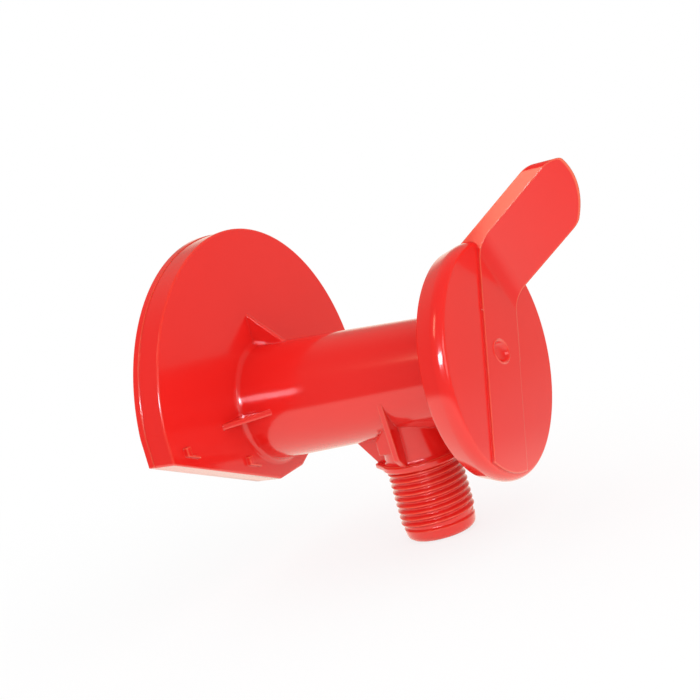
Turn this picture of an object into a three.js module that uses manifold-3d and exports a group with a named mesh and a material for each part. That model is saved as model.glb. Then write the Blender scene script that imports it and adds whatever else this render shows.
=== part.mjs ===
// Seacock valve: a moulded body with a hull flange, a barrel and a threaded
// outlet, and a hollow rotor turned by a round knob with a bent-out paddle.
// Millimetres. The origin is the centre of the flange's back face, +X runs
// along the barrel towards the knob, and +Z points away from the outlet.

import * as THREE from "three";
import { mergeVertices } from "three/addons/utils/BufferGeometryUtils.js";
import Module from "manifold-3d";

const wasm = await Module();
wasm.setup();

// Facet counts
const wideSegments = 72;
const roundSegments = 48;
const smallSegments = 24;
const bendSegments = 5;
const ringSegments = 10;

// Clearances shared by every fit
const cutOverrun = 1.0;
const runClearance = 0.3;
const seatGap = 0.3;
const snugGap = 0.12;

// Flange
const flangeRadius = 51.5;
const flangeDepth = 8.8;
const flangePlate = 3.2;
const flangeWall = 2.6;
const flangeSideCut = 0.3;
const flangeSide = flangeRadius - flangeSideCut;
const flangeCornerDrop = 2.7;
const flangeFootDrop = 21.9;
const flangeFootHalf = 6.3;
const flangeDraft = 0.6;
const lipDepth = 2.0;
const lipRise = 0.4;
const gasketThickness = flangeDepth - flangePlate - seatGap;

// Barrel
const barrelLength = 66.4;
const barrelRootRadius = 17.1;
const barrelNoseRadius = 14.7;
const rootFillet = 1.6;
const spigotWall = 3.2;
const boreRadius = 12.0;

// Gussets between the flange and the barrel
const gussetHeight = 9.6;
const gussetLength = 10.2;
const gussetThickness = 2.0;
const gussetAngles = [0, 90, 180].map(THREE.MathUtils.degToRad);

// Small moulded catches on the flange face, beside the sloping edges
const catchInset = 2.8;
const catchHeight = 2.4;
const catchWidth = 4.8;
const catchUpright = 1.75;
const catchRise = 1.3;
const catchThickness = 0.7;
const catchShares = [0.12, 0.69];

// Outlet spout with its pipe thread
const outletReach = 43.6;
const outletDrop = 44.9;
const outletBoreRadius = 7.2;
const neckRadius = 10.3;
const neckBlockHalf = 10.6;
const neckBlockReach = 7.1;
const neckBlockDrop = 18.6;
const neckBlockChamfer = 4.2;
const collarRadius = 11.5;
const collarDepth = 2.0;
const collarDrop = 24.4;
const threadRadius = 10.65;
const threadPitch = 1.814;
const threadDepth = 1.05;
const threadTurns = 9;
const threadRunIn = 0.5;
const threadCrestShare = 0.16;
const endBandRadius = 10.2;
const endBandTaper = 0.3;
const endChamfer = 1.3;

// Webs that stiffen the outlet neck
const webThickness = 1.8;
const sideWebTop = 3.4;
const sideWebBottom = 19.8;
const sideWebReach = 14.2;
const rearWebTopReach = 18.4;
const rearWebFootReach = 13.5;
const rearFootHalf = 3.2;
const rearFootLift = 0.6;

// Rotor
const rotorSetback = 1.7;
const rotorBoreRadius = 7.2;
const portRadius = 6.6;
const padWall = 1.1;
const padPocketDepth = 1.7;
const padRise = 0.15;
const rotorHeadWall = 4.0;

// O-rings and their grooves
const oRingSection = 2.2;
const stemRingSection = 1.6;
const grooveSide = 0.25;
const grooveFloorGap = 0.15;
const ringSqueezeGap = 0.06;
const sealLand = 0.8;

// Stem, washers and nose wall
const stemRadius = 6.0;
const stemClearance = 0.25;
const thrustWasherThickness = 1.0;
const thrustWasherMargin = 0.6;
const noseWall = 3.8;
const noseEntry = 1.8;
const hubClearance = 0.4;
const stemWasherThickness = 0.8;
const stemWasherMargin = 0.5;

// Retaining clip in the stem's groove
const clipThickness = 1.0;
const clipGrooveDepth = 1.1;
const clipWidth = 2.5;
const stemShoulder = 0.8;
const clipMouth = THREE.MathUtils.degToRad(70);

// Knob
const knobRadius = 32.3;
const knobBackRadius = 30.9;
const knobDepth = 8.6;
const knobEdgeFillet = 1.5;
const knobBackChamfer = 0.7;
const knobSkirt = 2.6;
const knobPlate = 3.0;
const knobRibRadius = 23.1;
const knobRibThickness = 1.8;
const hubWall = 2.0;
const hubRadius = 9.0;
const nosePocketGap = 0.7;
const nosePocketFloorGap = 0.4;

// Bar across the knob
const barRise = 0.7;
const barReach = 30.4;
const barHalfWidthTop = 10.0;
const barHalfWidthFoot = 9.5;

// Shallow dimple near the bar's middle
const dimpleRadius = 3.5;
const dimpleFloorRadius = 2.3;
const dimpleDepth = 0.9;
const dimpleAlong = 1.7;
const dimpleAcross = -0.5;

// Paddle bent out from the bar
const paddleThickness = 3.9;
const paddleBendReach = 21.7;
const paddleSlope = THREE.MathUtils.degToRad(53.8);
const paddleTwist = THREE.MathUtils.degToRad(27.6);
const paddleBendRadius = 7.6;
const paddleReach = 39.9;
const paddleCrownRadius = 38.0;
const paddleCrownShift = -2.3;
const paddleTallCorner = 2.2;
const paddleShortCorner = 4.0;
const paddleRoot = 6.0;

// Square drive, and the screw that holds the knob from inside the rotor
const driveSize = 8.2;
const driveGap = 0.25;
const driveLength = 5.0;
const screwShankRadius = 1.9;
const screwHeadRadius = 3.6;
const screwHeadHeight = 2.3;
const screwHoleRadius = 2.2;
const crossSlotLength = 4.2;
const crossSlotWidth = 0.9;
const crossSlotDepth = 1.2;
const screwSealRadius = 4.7;
const screwSealThickness = 1.0;
const insertRadius = 2.9;
const insertLength = 3.2;
const insertTip = 0.6;

// Turning range and its stops
const openAngle = THREE.MathUtils.degToRad(25);
const travel = THREE.MathUtils.degToRad(90);
const stopHalfAngle = THREE.MathUtils.degToRad(8);
const stopSlack = THREE.MathUtils.degToRad(1.5);
const stopRise = 1.4;
const stopInnerRadius = 10.6;
const stopOuterRadius = 13.4;

// Places along the barrel, worked out from the sizes above
const plateBack = flangeDepth - flangePlate;
const knobBack = flangeDepth + barrelLength;
const knobFace = knobBack + knobDepth;
const barFace = knobFace + barRise;
const noseEnd = knobBack + noseEntry;
const outletX = flangeDepth + outletReach;
const rotorRadius = boreRadius - runClearance;
const rotorStart = flangeDepth + rotorSetback;
const padRadius = outletBoreRadius + padWall;
const grooveWidth = oRingSection + 2 * grooveSide;
const innerGroove = rotorStart + sealLand;
const outerGroove = outletX + padRadius + snugGap + sealLand;
const rotorEnd = outerGroove + grooveWidth + sealLand;
const rotorBoreEnd = rotorEnd - rotorHeadWall;
const boreEnd = rotorEnd + thrustWasherThickness + 2 * seatGap;
const counterboreFloor = boreEnd + noseWall;
const stemGrooveWidth = stemRingSection + 2 * grooveSide;
const stemGroove = (boreEnd + counterboreFloor - stemGrooveWidth) / 2;
const stemWasherStart = counterboreFloor + seatGap;
const clipStart = stemWasherStart + stemWasherThickness + snugGap;
const clipEnd = clipStart + clipThickness;
const driveStart = clipEnd + snugGap + stemShoulder;
const hubStart = driveStart + snugGap;
const driveEnd = driveStart + driveLength;
const socketEnd = driveEnd + seatGap;
const insertStart = socketEnd + snugGap;
const insertEnd = insertStart + insertLength;
const screwSealStart = rotorBoreEnd - snugGap - screwSealThickness;
const headEnd = screwSealStart - snugGap;
const headStart = headEnd - screwHeadHeight;
const screwEnd = insertEnd - insertTip;
const nosePocketFloor = noseEnd + nosePocketFloorGap;
const nosePocketRadius = barrelNoseRadius + nosePocketGap;

// Materials
const redPlastic = new THREE.MeshStandardMaterial({ color: 0xe3342c, roughness: 0.28, metalness: 0 });
const whitePlastic = new THREE.MeshStandardMaterial({ color: 0xe9e6df, roughness: 0.4, metalness: 0 });
const blackRubber = new THREE.MeshStandardMaterial({ color: 0x1d1d1f, roughness: 0.8, metalness: 0 });
const stainless = new THREE.MeshStandardMaterial({ color: 0xb9bcc0, roughness: 0.35, metalness: 1 });
const brass = new THREE.MeshStandardMaterial({ color: 0xc9a24b, roughness: 0.35, metalness: 1 });

// Axes used to stand a flat outline up in the part's frame
const alongX = new THREE.Vector3(1, 0, 0);
const alongY = new THREE.Vector3(0, 1, 0);
const alongZ = new THREE.Vector3(0, 0, 1);

// Twice the signed volume of a triangle with the origin, summed over a mesh
function signedVolume(vertices, triangles) {
  const [a, b, c] = [new THREE.Vector3(), new THREE.Vector3(), new THREE.Vector3()];
  let sum = 0;
  for (let i = 0; i < triangles.length; i += 3) {
    a.fromArray(vertices, 3 * triangles[i]);
    b.fromArray(vertices, 3 * triangles[i + 1]);
    c.fromArray(vertices, 3 * triangles[i + 2]);
    sum += a.dot(b.cross(c));
  }
  return sum;
}

// A closed three.js geometry as a solid that can be joined and cut
function solidFrom(geometry) {
  const bare = geometry.clone();
  bare.deleteAttribute("normal");
  bare.deleteAttribute("uv");
  const merged = mergeVertices(bare, seatGap / 1000);
  const vertProperties = Float32Array.from(merged.attributes.position.array);
  const kept = [];
  const index = merged.index.array;
  for (let i = 0; i < index.length; i += 3) {
    const [a, b, c] = [index[i], index[i + 1], index[i + 2]];
    if (a !== b && b !== c && c !== a) kept.push(a, b, c);
  }
  const triVerts = Uint32Array.from(kept);
  if (signedVolume(vertProperties, triVerts) < 0) triVerts.reverse();
  return new wasm.Manifold(new wasm.Mesh({ numProp: 3, vertProperties, triVerts }));
}

// A finished solid as a three.js geometry
function geometryFrom(solid) {
  const mesh = solid.getMesh();
  const geometry = new THREE.BufferGeometry();
  geometry.setAttribute("position", new THREE.BufferAttribute(Float32Array.from(mesh.vertProperties), 3));
  geometry.setIndex(new THREE.BufferAttribute(Uint32Array.from(mesh.triVerts), 1));
  geometry.computeVertexNormals();
  return geometry;
}

// A profile of [place along X, radius] points turned about the X axis
function turnedX(profile, segments) {
  const points = profile.map(([x, r]) => new THREE.Vector2(r, x));
  return solidFrom(new THREE.LatheGeometry(points, segments).rotateZ(-Math.PI / 2));
}

// A profile of [height, radius] points turned about a Z axis at a place along X
function turnedZ(profile, segments, x) {
  const points = profile.map(([z, r]) => new THREE.Vector2(r, z));
  const geometry = new THREE.LatheGeometry(points, segments).rotateX(Math.PI / 2);
  return solidFrom(geometry.translate(x, 0, 0));
}

// A ring of rectangular section about the X axis
function ringX(start, end, inner, outer, segments) {
  const profile = [[start, inner], [start, outer], [end, outer], [end, inner], [start, inner]];
  return turnedX(profile, segments);
}

// A plain round plug about the X axis
function plugX(start, end, radius, segments) {
  return turnedX([[start, 0], [start, radius], [end, radius], [end, 0]], segments);
}

// An outline drawn in the plane of two axes and raised along the third, with
// its foot scaled where the sides are drafted
function raised(shape, first, second, depth, curveSegments = smallSegments, footScale = 1) {
  const geometry = new THREE.ExtrudeGeometry(shape, { depth, bevelEnabled: false, curveSegments });
  const points = geometry.attributes.position;
  for (let i = 0; i < points.count; i += 1) {
    if (points.getZ(i) === 0) points.setXY(i, points.getX(i) * footScale, points.getY(i) * footScale);
  }
  const up = new THREE.Vector3().crossVectors(first, second);
  return solidFrom(geometry.applyMatrix4(new THREE.Matrix4().makeBasis(first, second, up)));
}

// An outline through a list of corners
function outlineOf(corners) {
  return new THREE.Shape(corners.map(([u, v]) => new THREE.Vector2(u, v)));
}

// A slab centred on its own outline plane
function slab(corners, first, second, thickness) {
  const up = new THREE.Vector3().crossVectors(first, second);
  const shift = up.multiplyScalar(-thickness / 2);
  return raised(outlineOf(corners), first, second, thickness).translate(shift.toArray());
}

// A solid turned about the X axis
function turnAboutX(solid, angle) {
  return solid.rotate([THREE.MathUtils.radToDeg(angle), 0, 0]);
}

// Barrel radius at a place along X
function barrelRadiusAt(x) {
  const share = (x - flangeDepth) / barrelLength;
  return barrelRootRadius + share * (barrelNoseRadius - barrelRootRadius);
}

// The flange outline, drawn in Y and Z, drawn in by an inset
function flangeOutline(inset) {
  const radius = flangeRadius - inset;
  const side = flangeSide - inset;
  const foot = flangeFootDrop - inset;
  const slope = Math.atan2(flangeFootDrop - flangeCornerDrop, flangeSide - flangeFootHalf);
  const reach = flangeFootHalf * Math.sin(slope) + flangeFootDrop * Math.cos(slope) - inset;
  const footHalf = (reach - foot * Math.cos(slope)) / Math.sin(slope);
  const cornerZ = (side * Math.sin(slope) - reach) / Math.cos(slope);
  const arcStart = Math.acos(side / radius);
  const shape = new THREE.Shape();
  shape.moveTo(-footHalf, -foot);
  shape.lineTo(footHalf, -foot);
  shape.lineTo(side, cornerZ);
  shape.absarc(0, 0, radius, arcStart, Math.PI - arcStart, false);
  shape.lineTo(-side, cornerZ);
  shape.lineTo(-footHalf, -foot);
  return shape;
}

// A plate of the flange's outline between two places along X
function flangePlateSolid(start, end, inset, footScale = 1) {
  const plate = raised(flangeOutline(inset), alongY, alongZ, end - start, wideSegments / 2, footScale);
  return plate.translate([start, 0, 0]);
}

// The flange: a shallow cup open at the back, with a lip round its back edge
function flangeSolid() {
  const drafted = flangePlateSolid(0, flangeDepth, 0, 1 - flangeDraft / flangeRadius);
  const cup = drafted.add(flangePlateSolid(0, lipDepth, flangeDraft - lipRise));
  const hollow = flangePlateSolid(-cutOverrun, plateBack, flangeWall);
  const spigot = plugX(0, plateBack + cutOverrun, boreRadius + spigotWall, roundSegments);
  return cup.subtract(hollow).add(spigot);
}

// The tapered barrel with a fillet where it leaves the flange
function barrelSolid() {
  const filletTop = flangeDepth + rootFillet;
  const profile = [[plateBack, 0], [plateBack, barrelRootRadius]];
  profile.push([flangeDepth, barrelRootRadius + rootFillet]);
  for (let i = 1; i < bendSegments; i += 1) {
    const angle = (i / bendSegments) * (Math.PI / 2);
    const x = filletTop - rootFillet * Math.cos(angle);
    profile.push([x, barrelRadiusAt(filletTop) + rootFillet * (1 - Math.sin(angle))]);
  }
  profile.push([filletTop, barrelRadiusAt(filletTop)], [knobBack, barrelNoseRadius]);
  profile.push([noseEnd, barrelNoseRadius], [noseEnd, 0]);
  return turnedX(profile, roundSegments);
}

// One triangular gusset, standing at an angle about the barrel
function gussetSolid(angle) {
  const inner = barrelNoseRadius - gussetThickness / 2;
  const far = flangeDepth + gussetLength;
  const corners = [
    [flangeDepth - flangePlate / 2, inner],
    [far, inner],
    [far, barrelRadiusAt(far) - snugGap],
    [flangeDepth, barrelRootRadius + gussetHeight],
    [flangeDepth - flangePlate / 2, barrelRootRadius + gussetHeight],
  ];
  return turnAboutX(slab(corners, alongX, alongY, gussetThickness), angle);
}

// One L-shaped catch beside a sloping edge, mirrored for the other side
function catchSolid(share, mirror) {
  const y = flangeSide + share * (flangeFootHalf - flangeSide);
  const fall = (flangeFootDrop - flangeCornerDrop) / (flangeSide - flangeFootHalf);
  const foot = catchInset - flangeCornerDrop - fall * (flangeSide - y);
  const corners = [
    [-mirror * y, foot],
    [-mirror * (y - catchWidth), foot - fall * catchWidth],
    [-mirror * (y - catchWidth), foot - fall * catchWidth + catchThickness],
    [-mirror * (y - catchUpright), foot - fall * catchUpright + catchThickness],
    [-mirror * (y - catchUpright), foot + catchHeight],
    [-mirror * y, foot + catchHeight],
  ];
  const upright = raised(outlineOf(corners), alongY, alongZ, catchRise + flangePlate / 2);
  return upright.translate([flangeDepth - flangePlate / 2, 0, 0]);
}

// The spout's outside: neck, collar, ring-cut thread and end chamfer
function spoutSolid() {
  const threadTop = collarDrop + threadRunIn;
  const profile = [[0, 0], [0, neckRadius], [collarDepth - collarDrop, neckRadius]];
  profile.push([collarDepth - collarDrop, collarRadius], [-collarDrop, collarRadius]);
  profile.push([-collarDrop, threadRadius - threadDepth]);
  for (let turn = 0; turn < threadTurns; turn += 1) {
    const middle = -threadTop - (turn + 1 / 2) * threadPitch;
    const crest = threadCrestShare * threadPitch;
    profile.push([middle + threadPitch / 2, threadRadius - threadDepth], [middle + crest, threadRadius]);
    profile.push([middle - crest, threadRadius]);
  }
  const threadEnd = -threadTop - threadTurns * threadPitch;
  profile.push([threadEnd, threadRadius - threadDepth], [threadEnd - threadRunIn, endBandRadius]);
  profile.push([endChamfer - outletDrop, endBandRadius - endBandTaper]);
  profile.push([-outletDrop, endBandRadius - endChamfer], [-outletDrop, 0]);
  return turnedZ(profile, roundSegments, outletX);
}

// The flat-faced block round the neck's flange side
function neckBlockSolid() {
  const top = -Math.sqrt(barrelNoseRadius * barrelNoseRadius - neckBlockHalf * neckBlockHalf);
  const corners = [
    [-neckBlockDrop, outletX - neckBlockReach],
    [-neckBlockDrop, outletX],
    [top, outletX],
    [top, outletX - neckBlockReach + neckBlockChamfer],
    [top - neckBlockChamfer, outletX - neckBlockReach],
  ];
  return slab(corners, alongZ, alongX, 2 * neckBlockHalf);
}

// The collar's foot under the rear web, running into the round of the collar
function rearFootSolid() {
  const reach = Math.hypot(rearWebFootReach, rearFootHalf);
  const turn = Math.atan2(rearFootHalf, rearWebFootReach) + Math.acos(collarRadius / reach);
  const tangentX = outletX - collarRadius * Math.cos(turn);
  const tangentY = collarRadius * Math.sin(turn);
  const corners = [
    [outletX - rearWebFootReach, -rearFootHalf],
    [tangentX, -tangentY],
    [tangentX, tangentY],
    [outletX - rearWebFootReach, rearFootHalf],
  ];
  const foot = raised(outlineOf(corners), alongX, alongY, collarDepth - rearFootLift);
  return foot.translate([0, 0, rearFootLift - collarDrop]);
}

// The two webs beside the neck, square to the barrel
function sideWebSolid(mirror) {
  const inner = neckRadius - webThickness;
  const corners = [
    [mirror * inner, -sideWebTop],
    [mirror * (barrelRadiusAt(outletX) - snugGap), -sideWebTop],
    [mirror * sideWebReach, -sideWebBottom],
    [mirror * collarRadius, collarDepth - collarDrop],
    [mirror * inner, collarDepth / 2 - collarDrop],
  ];
  return slab(corners, alongY, alongZ, webThickness).translate([outletX, 0, 0]);
}

// The web behind the neck, in line with the barrel
function rearWebSolid() {
  const inner = outletX - neckRadius + webThickness;
  const top = barrelRadiusAt(outletX - rearWebTopReach);
  const corners = [
    [inner, -boreRadius],
    [outletX - rearWebTopReach, -boreRadius],
    [outletX - rearWebTopReach, snugGap - top],
    [outletX - rearWebFootReach, collarDepth - collarDrop],
    [outletX - rearWebFootReach, rearFootLift - collarDrop],
    [inner, rearFootLift - collarDrop],
  ];
  return slab(corners, alongX, alongZ, 2 * webThickness);
}

// The stop that limits the knob's turn, standing on the barrel's nose
function stopSolid() {
  const shape = new THREE.Shape();
  shape.absarc(0, 0, stopOuterRadius, -stopHalfAngle, stopHalfAngle, false);
  shape.absarc(0, 0, stopInnerRadius, stopHalfAngle, -stopHalfAngle, true);
  const block = raised(shape, alongY, alongZ, stopRise + cutOverrun, bendSegments);
  return turnAboutX(block, Math.PI / 2).translate([noseEnd - cutOverrun, 0, 0]);
}

// The rotor's bore, the nose wall's stem hole and the outlet passage
function bodyPassages() {
  const bore = plugX(-cutOverrun, boreEnd, boreRadius, roundSegments);
  const stemHole = plugX(boreRadius, noseEnd + cutOverrun, stemRadius + stemClearance, roundSegments);
  const hubHole = plugX(counterboreFloor, noseEnd + cutOverrun, hubRadius + hubClearance, roundSegments);
  const outletPoints = [[0, 0], [0, outletBoreRadius]];
  outletPoints.push([-outletDrop - cutOverrun, outletBoreRadius], [-outletDrop - cutOverrun, 0]);
  return bore.add(stemHole).add(hubHole).add(turnedZ(outletPoints, roundSegments, outletX));
}

// The one-piece moulded body
function valveBody() {
  let solid = flangeSolid().add(barrelSolid()).add(spoutSolid()).add(neckBlockSolid());
  solid = solid.add(rearWebSolid()).add(rearFootSolid()).add(stopSolid());
  for (const angle of gussetAngles) solid = solid.add(gussetSolid(angle));
  for (const mirror of [1, -1]) {
    solid = solid.add(sideWebSolid(mirror));
    for (const share of catchShares) solid = solid.add(catchSolid(share, mirror));
  }
  return solid.subtract(bodyPassages());
}

// The rubber pad that fills the flange's back and seals against the hull
function hullGasket() {
  const pad = flangePlateSolid(0, gasketThickness, flangeWall + seatGap);
  const hole = plugX(-cutOverrun, flangeDepth, boreRadius + spigotWall + seatGap, roundSegments);
  return pad.subtract(hole);
}

// The rotor's turned outside, hollow from the inlet, with its O-ring grooves
function rotorTurning() {
  const floor = rotorRadius + ringSqueezeGap - oRingSection - grooveFloorGap;
  const stemFloor = stemRadius + ringSqueezeGap - stemRingSection - grooveFloorGap;
  const clipFloor = stemRadius - clipGrooveDepth;
  const profile = [[rotorBoreEnd, 0], [rotorBoreEnd, rotorBoreRadius]];
  profile.push([rotorStart, rotorBoreRadius], [rotorStart, rotorRadius]);
  for (const groove of [innerGroove, outerGroove]) {
    profile.push([groove, rotorRadius], [groove, floor]);
    profile.push([groove + grooveWidth, floor], [groove + grooveWidth, rotorRadius]);
  }
  profile.push([rotorEnd, rotorRadius], [rotorEnd, stemRadius], [stemGroove, stemRadius]);
  profile.push([stemGroove, stemFloor], [stemGroove + stemGrooveWidth, stemFloor]);
  profile.push([stemGroove + stemGrooveWidth, stemRadius], [clipStart - snugGap, stemRadius]);
  profile.push([clipStart - snugGap, clipFloor], [clipEnd + snugGap, clipFloor]);
  profile.push([clipEnd + snugGap, stemRadius], [driveStart, stemRadius], [driveStart, 0]);
  return turnedX(profile, roundSegments);
}

// The square end of the stem, with its corners left whole
function driveSolid() {
  const half = driveSize / 2;
  const corners = [[-half, -half], [half, -half], [half, half], [-half, half]];
  const start = driveStart - stemShoulder / 2;
  return raised(outlineOf(corners), alongY, alongZ, driveEnd - start).translate([start, 0, 0]);
}

// A round plug lying along +Y at the outlet, between two distances
function radialPlug(radius, near, far) {
  const points = [[near, 0], [near, radius], [far, radius], [far, 0]];
  return turnAboutX(turnedZ(points, roundSegments, outletX), -Math.PI / 2);
}

// The hollow rotor: port at the foot, pad pocket a quarter turn away
function rotorSolid() {
  const port = turnAboutX(radialPlug(portRadius, 0, boreRadius), -Math.PI / 2);
  const pocketFloor = rotorRadius - padPocketDepth;
  const pocketCut = radialPlug(padRadius + snugGap, 0, boreRadius);
  const core = plugX(rotorStart, rotorEnd, pocketFloor, roundSegments);
  const screwHole = plugX(rotorBoreEnd - cutOverrun, driveEnd + cutOverrun, screwHoleRadius, smallSegments);
  const whole = rotorTurning().add(driveSolid());
  return whole.subtract(port).subtract(pocketCut.subtract(core)).subtract(screwHole);
}

// The rubber pad that covers the outlet when the valve is shut
function shutoffPad() {
  const floor = rotorRadius - padPocketDepth + snugGap;
  const shell = ringX(rotorStart, rotorEnd, floor, rotorRadius + padRise, roundSegments);
  return shell.intersect(radialPlug(padRadius, rotorBoreRadius, boreRadius + cutOverrun));
}

// An O-ring about the X axis, centred in its groove
function oRing(groove, width, section, radius) {
  const middle = groove + width / 2;
  const profile = [];
  for (let i = 0; i <= ringSegments; i += 1) {
    const angle = (i / ringSegments) * 2 * Math.PI;
    const x = middle + (section / 2) * Math.sin(angle);
    profile.push([x, radius + ringSqueezeGap + (section / 2) * (Math.cos(angle) - 1)]);
  }
  profile[ringSegments] = profile[0];
  return turnedX(profile, roundSegments);
}

// The slippery washer between the rotor's head and the nose wall
function thrustWasher() {
  const start = rotorEnd + seatGap;
  const outer = boreRadius - thrustWasherMargin;
  return ringX(start, start + thrustWasherThickness, stemRadius + seatGap, outer, roundSegments);
}

// The flat washer on the stem, between the nose wall and the clip
function stemWasher() {
  const outer = hubRadius - stemWasherMargin;
  const end = stemWasherStart + stemWasherThickness;
  return ringX(stemWasherStart, end, stemRadius + seatGap, outer, roundSegments);
}

// The open clip that snaps into the stem's groove
function stemClip() {
  const inner = stemRadius - clipGrooveDepth + snugGap;
  const shape = new THREE.Shape();
  shape.absarc(0, 0, inner + clipWidth, clipMouth / 2, 2 * Math.PI - clipMouth / 2, false);
  shape.absarc(0, 0, inner, 2 * Math.PI - clipMouth / 2, clipMouth / 2, true);
  return raised(shape, alongY, alongZ, clipThickness).translate([clipStart, 0, 0]);
}

// The knob's disc, with a rounded front edge and a small chamfer behind
function knobDisc() {
  const profile = [[knobBack, 0], [knobBack, knobBackRadius - knobBackChamfer]];
  profile.push([knobBack + knobBackChamfer, knobBackRadius]);
  for (let i = 0; i <= bendSegments; i += 1) {
    const angle = (i / bendSegments) * (Math.PI / 2);
    const x = knobFace - knobEdgeFillet * (1 - Math.sin(angle));
    profile.push([x, knobRadius - knobEdgeFillet * (1 - Math.cos(angle))]);
  }
  profile.push([knobFace, 0]);
  return turnedX(profile, wideSegments);
}

// The raised bar that runs across the knob's face
function barSolid() {
  const corners = [
    [-barHalfWidthFoot, -knobRadius],
    [barHalfWidthFoot, -knobRadius],
    [barHalfWidthTop, knobRadius],
    [-barHalfWidthTop, knobRadius],
  ];
  const bar = raised(outlineOf(corners), alongY, alongZ, barRise + knobPlate / 2);
  const round = plugX(knobBack, barFace + cutOverrun, barReach, wideSegments);
  return bar.translate([knobFace - knobPlate / 2, 0, 0]).intersect(round);
}

// The paddle's bent section: it leaves the bar on an arc and rises at its slope
function paddleProfile() {
  const bend = paddleBendReach;
  const tangent = paddleBendRadius * Math.tan(paddleSlope / 2);
  const run = new THREE.Vector2(Math.cos(paddleSlope), Math.sin(paddleSlope));
  const back = new THREE.Vector2(run.y, -run.x).multiplyScalar(paddleThickness);
  const top = (paddleReach - bend + paddleThickness) / run.x;
  const root = -paddleRoot / run.y;
  const corners = [[bend - knobRadius / 2, barFace - paddleRoot], [bend - knobRadius / 2, barFace]];
  for (let i = 0; i <= bendSegments; i += 1) {
    const angle = (i / bendSegments) * paddleSlope;
    const u = bend - tangent + paddleBendRadius * Math.sin(angle);
    corners.push([u, barFace + paddleBendRadius * (1 - Math.cos(angle))]);
  }
  corners.push([bend + top * run.x, barFace + top * run.y]);
  corners.push([bend + top * run.x + back.x, barFace + top * run.y + back.y]);
  corners.push([bend + root * run.x + back.x, barFace + root * run.y + back.y]);
  return outlineOf(corners.reverse());
}

// The paddle's outline seen along X: straight sides and a crowned, slanted tip
function paddleEndOutline() {
  const half = barHalfWidthTop;
  const apex = (paddleReach - paddleCrownShift * Math.sin(paddleTwist)) / Math.cos(paddleTwist);
  const crownY = paddleCrownShift - paddleCrownRadius * Math.sin(paddleTwist);
  const crownZ = apex - paddleCrownRadius * Math.cos(paddleTwist);
  const shortY = half - paddleShortCorner;
  const tallY = paddleTallCorner - half;
  const shortAngle = Math.acos((shortY - crownY) / (paddleCrownRadius - paddleShortCorner));
  const tallAngle = Math.acos((tallY - crownY) / (paddleCrownRadius - paddleTallCorner));
  const shortZ = crownZ + (paddleCrownRadius - paddleShortCorner) * Math.sin(shortAngle);
  const tallZ = crownZ + (paddleCrownRadius - paddleTallCorner) * Math.sin(tallAngle);
  const shape = new THREE.Shape();
  shape.moveTo(-half, 0);
  shape.lineTo(half, 0);
  shape.absarc(shortY, shortZ, paddleShortCorner, 0, shortAngle, false);
  shape.absarc(crownY, crownZ, paddleCrownRadius, shortAngle, tallAngle, false);
  shape.absarc(tallY, tallZ, paddleTallCorner, tallAngle, Math.PI, false);
  shape.lineTo(-half, 0);
  return shape;
}

// The paddle: a bent and twisted strip trimmed to the bar's width
function paddleSolid() {
  const across = new THREE.Vector3(0, Math.sin(paddleTwist), Math.cos(paddleTwist));
  const fold = new THREE.Vector3().crossVectors(across, alongX);
  const length = 2 * knobRadius;
  const strip = raised(paddleProfile(), across, alongX, 2 * length);
  const centred = strip.translate(fold.multiplyScalar(-length).toArray());
  const outline = raised(paddleEndOutline(), alongY, alongZ, length, bendSegments);
  return centred.intersect(outline.translate([knobBack, 0, 0]));
}

// The shallow dimple sunk in the bar's face
function dimpleCut() {
  const profile = [[barFace - dimpleDepth, 0], [barFace - dimpleDepth, dimpleFloorRadius]];
  profile.push([barFace, dimpleRadius], [barFace + cutOverrun, dimpleRadius], [barFace + cutOverrun, 0]);
  return turnedX(profile, smallSegments).translate([0, dimpleAcross, dimpleAlong]);
}

// The pockets that core out the knob from behind
function knobPockets() {
  const floor = knobFace - knobPlate;
  const start = knobBack - cutOverrun;
  const ribInner = knobRibRadius - knobRibThickness / 2;
  const ribOuter = knobRibRadius + knobRibThickness / 2;
  const hubOuter = nosePocketRadius + hubWall;
  const outer = ringX(start, floor, ribOuter, knobBackRadius - knobSkirt, wideSegments);
  const inner = ringX(start, floor, hubOuter, ribInner, roundSegments);
  return outer.add(inner).add(plugX(start, nosePocketFloor, nosePocketRadius, roundSegments));
}

// The groove in the knob that runs past the body's stop
function stopGroove() {
  const shape = new THREE.Shape();
  const end = travel + stopHalfAngle + stopSlack;
  const start = -stopHalfAngle - stopSlack;
  shape.absarc(0, 0, stopOuterRadius + seatGap, start, end, false);
  shape.absarc(0, 0, stopInnerRadius - seatGap, end, start, true);
  const depth = stopRise + seatGap;
  const arc = raised(shape, alongY, alongZ, depth + cutOverrun, smallSegments / 2);
  return turnAboutX(arc, Math.PI / 2).translate([noseEnd - cutOverrun + seatGap, 0, 0]);
}

// The square socket in the knob's hub, and the round seat of the insert behind it
function knobHoles() {
  const half = driveSize / 2 + driveGap;
  const corners = [[-half, -half], [half, -half], [half, half], [-half, half]];
  const start = hubStart - cutOverrun;
  const socket = raised(outlineOf(corners), alongY, alongZ, socketEnd - start).translate([start, 0, 0]);
  return socket.add(plugX(start, insertEnd + snugGap, insertRadius + snugGap, smallSegments));
}

// The knob with its bar, paddle and hub, all one moulding
function knobSolid() {
  const hub = plugX(hubStart, knobFace, hubRadius, roundSegments);
  const shell = knobDisc().add(barSolid()).add(paddleSolid()).subtract(knobPockets());
  return shell.add(hub).subtract(stopGroove()).subtract(knobHoles()).subtract(dimpleCut());
}

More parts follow.
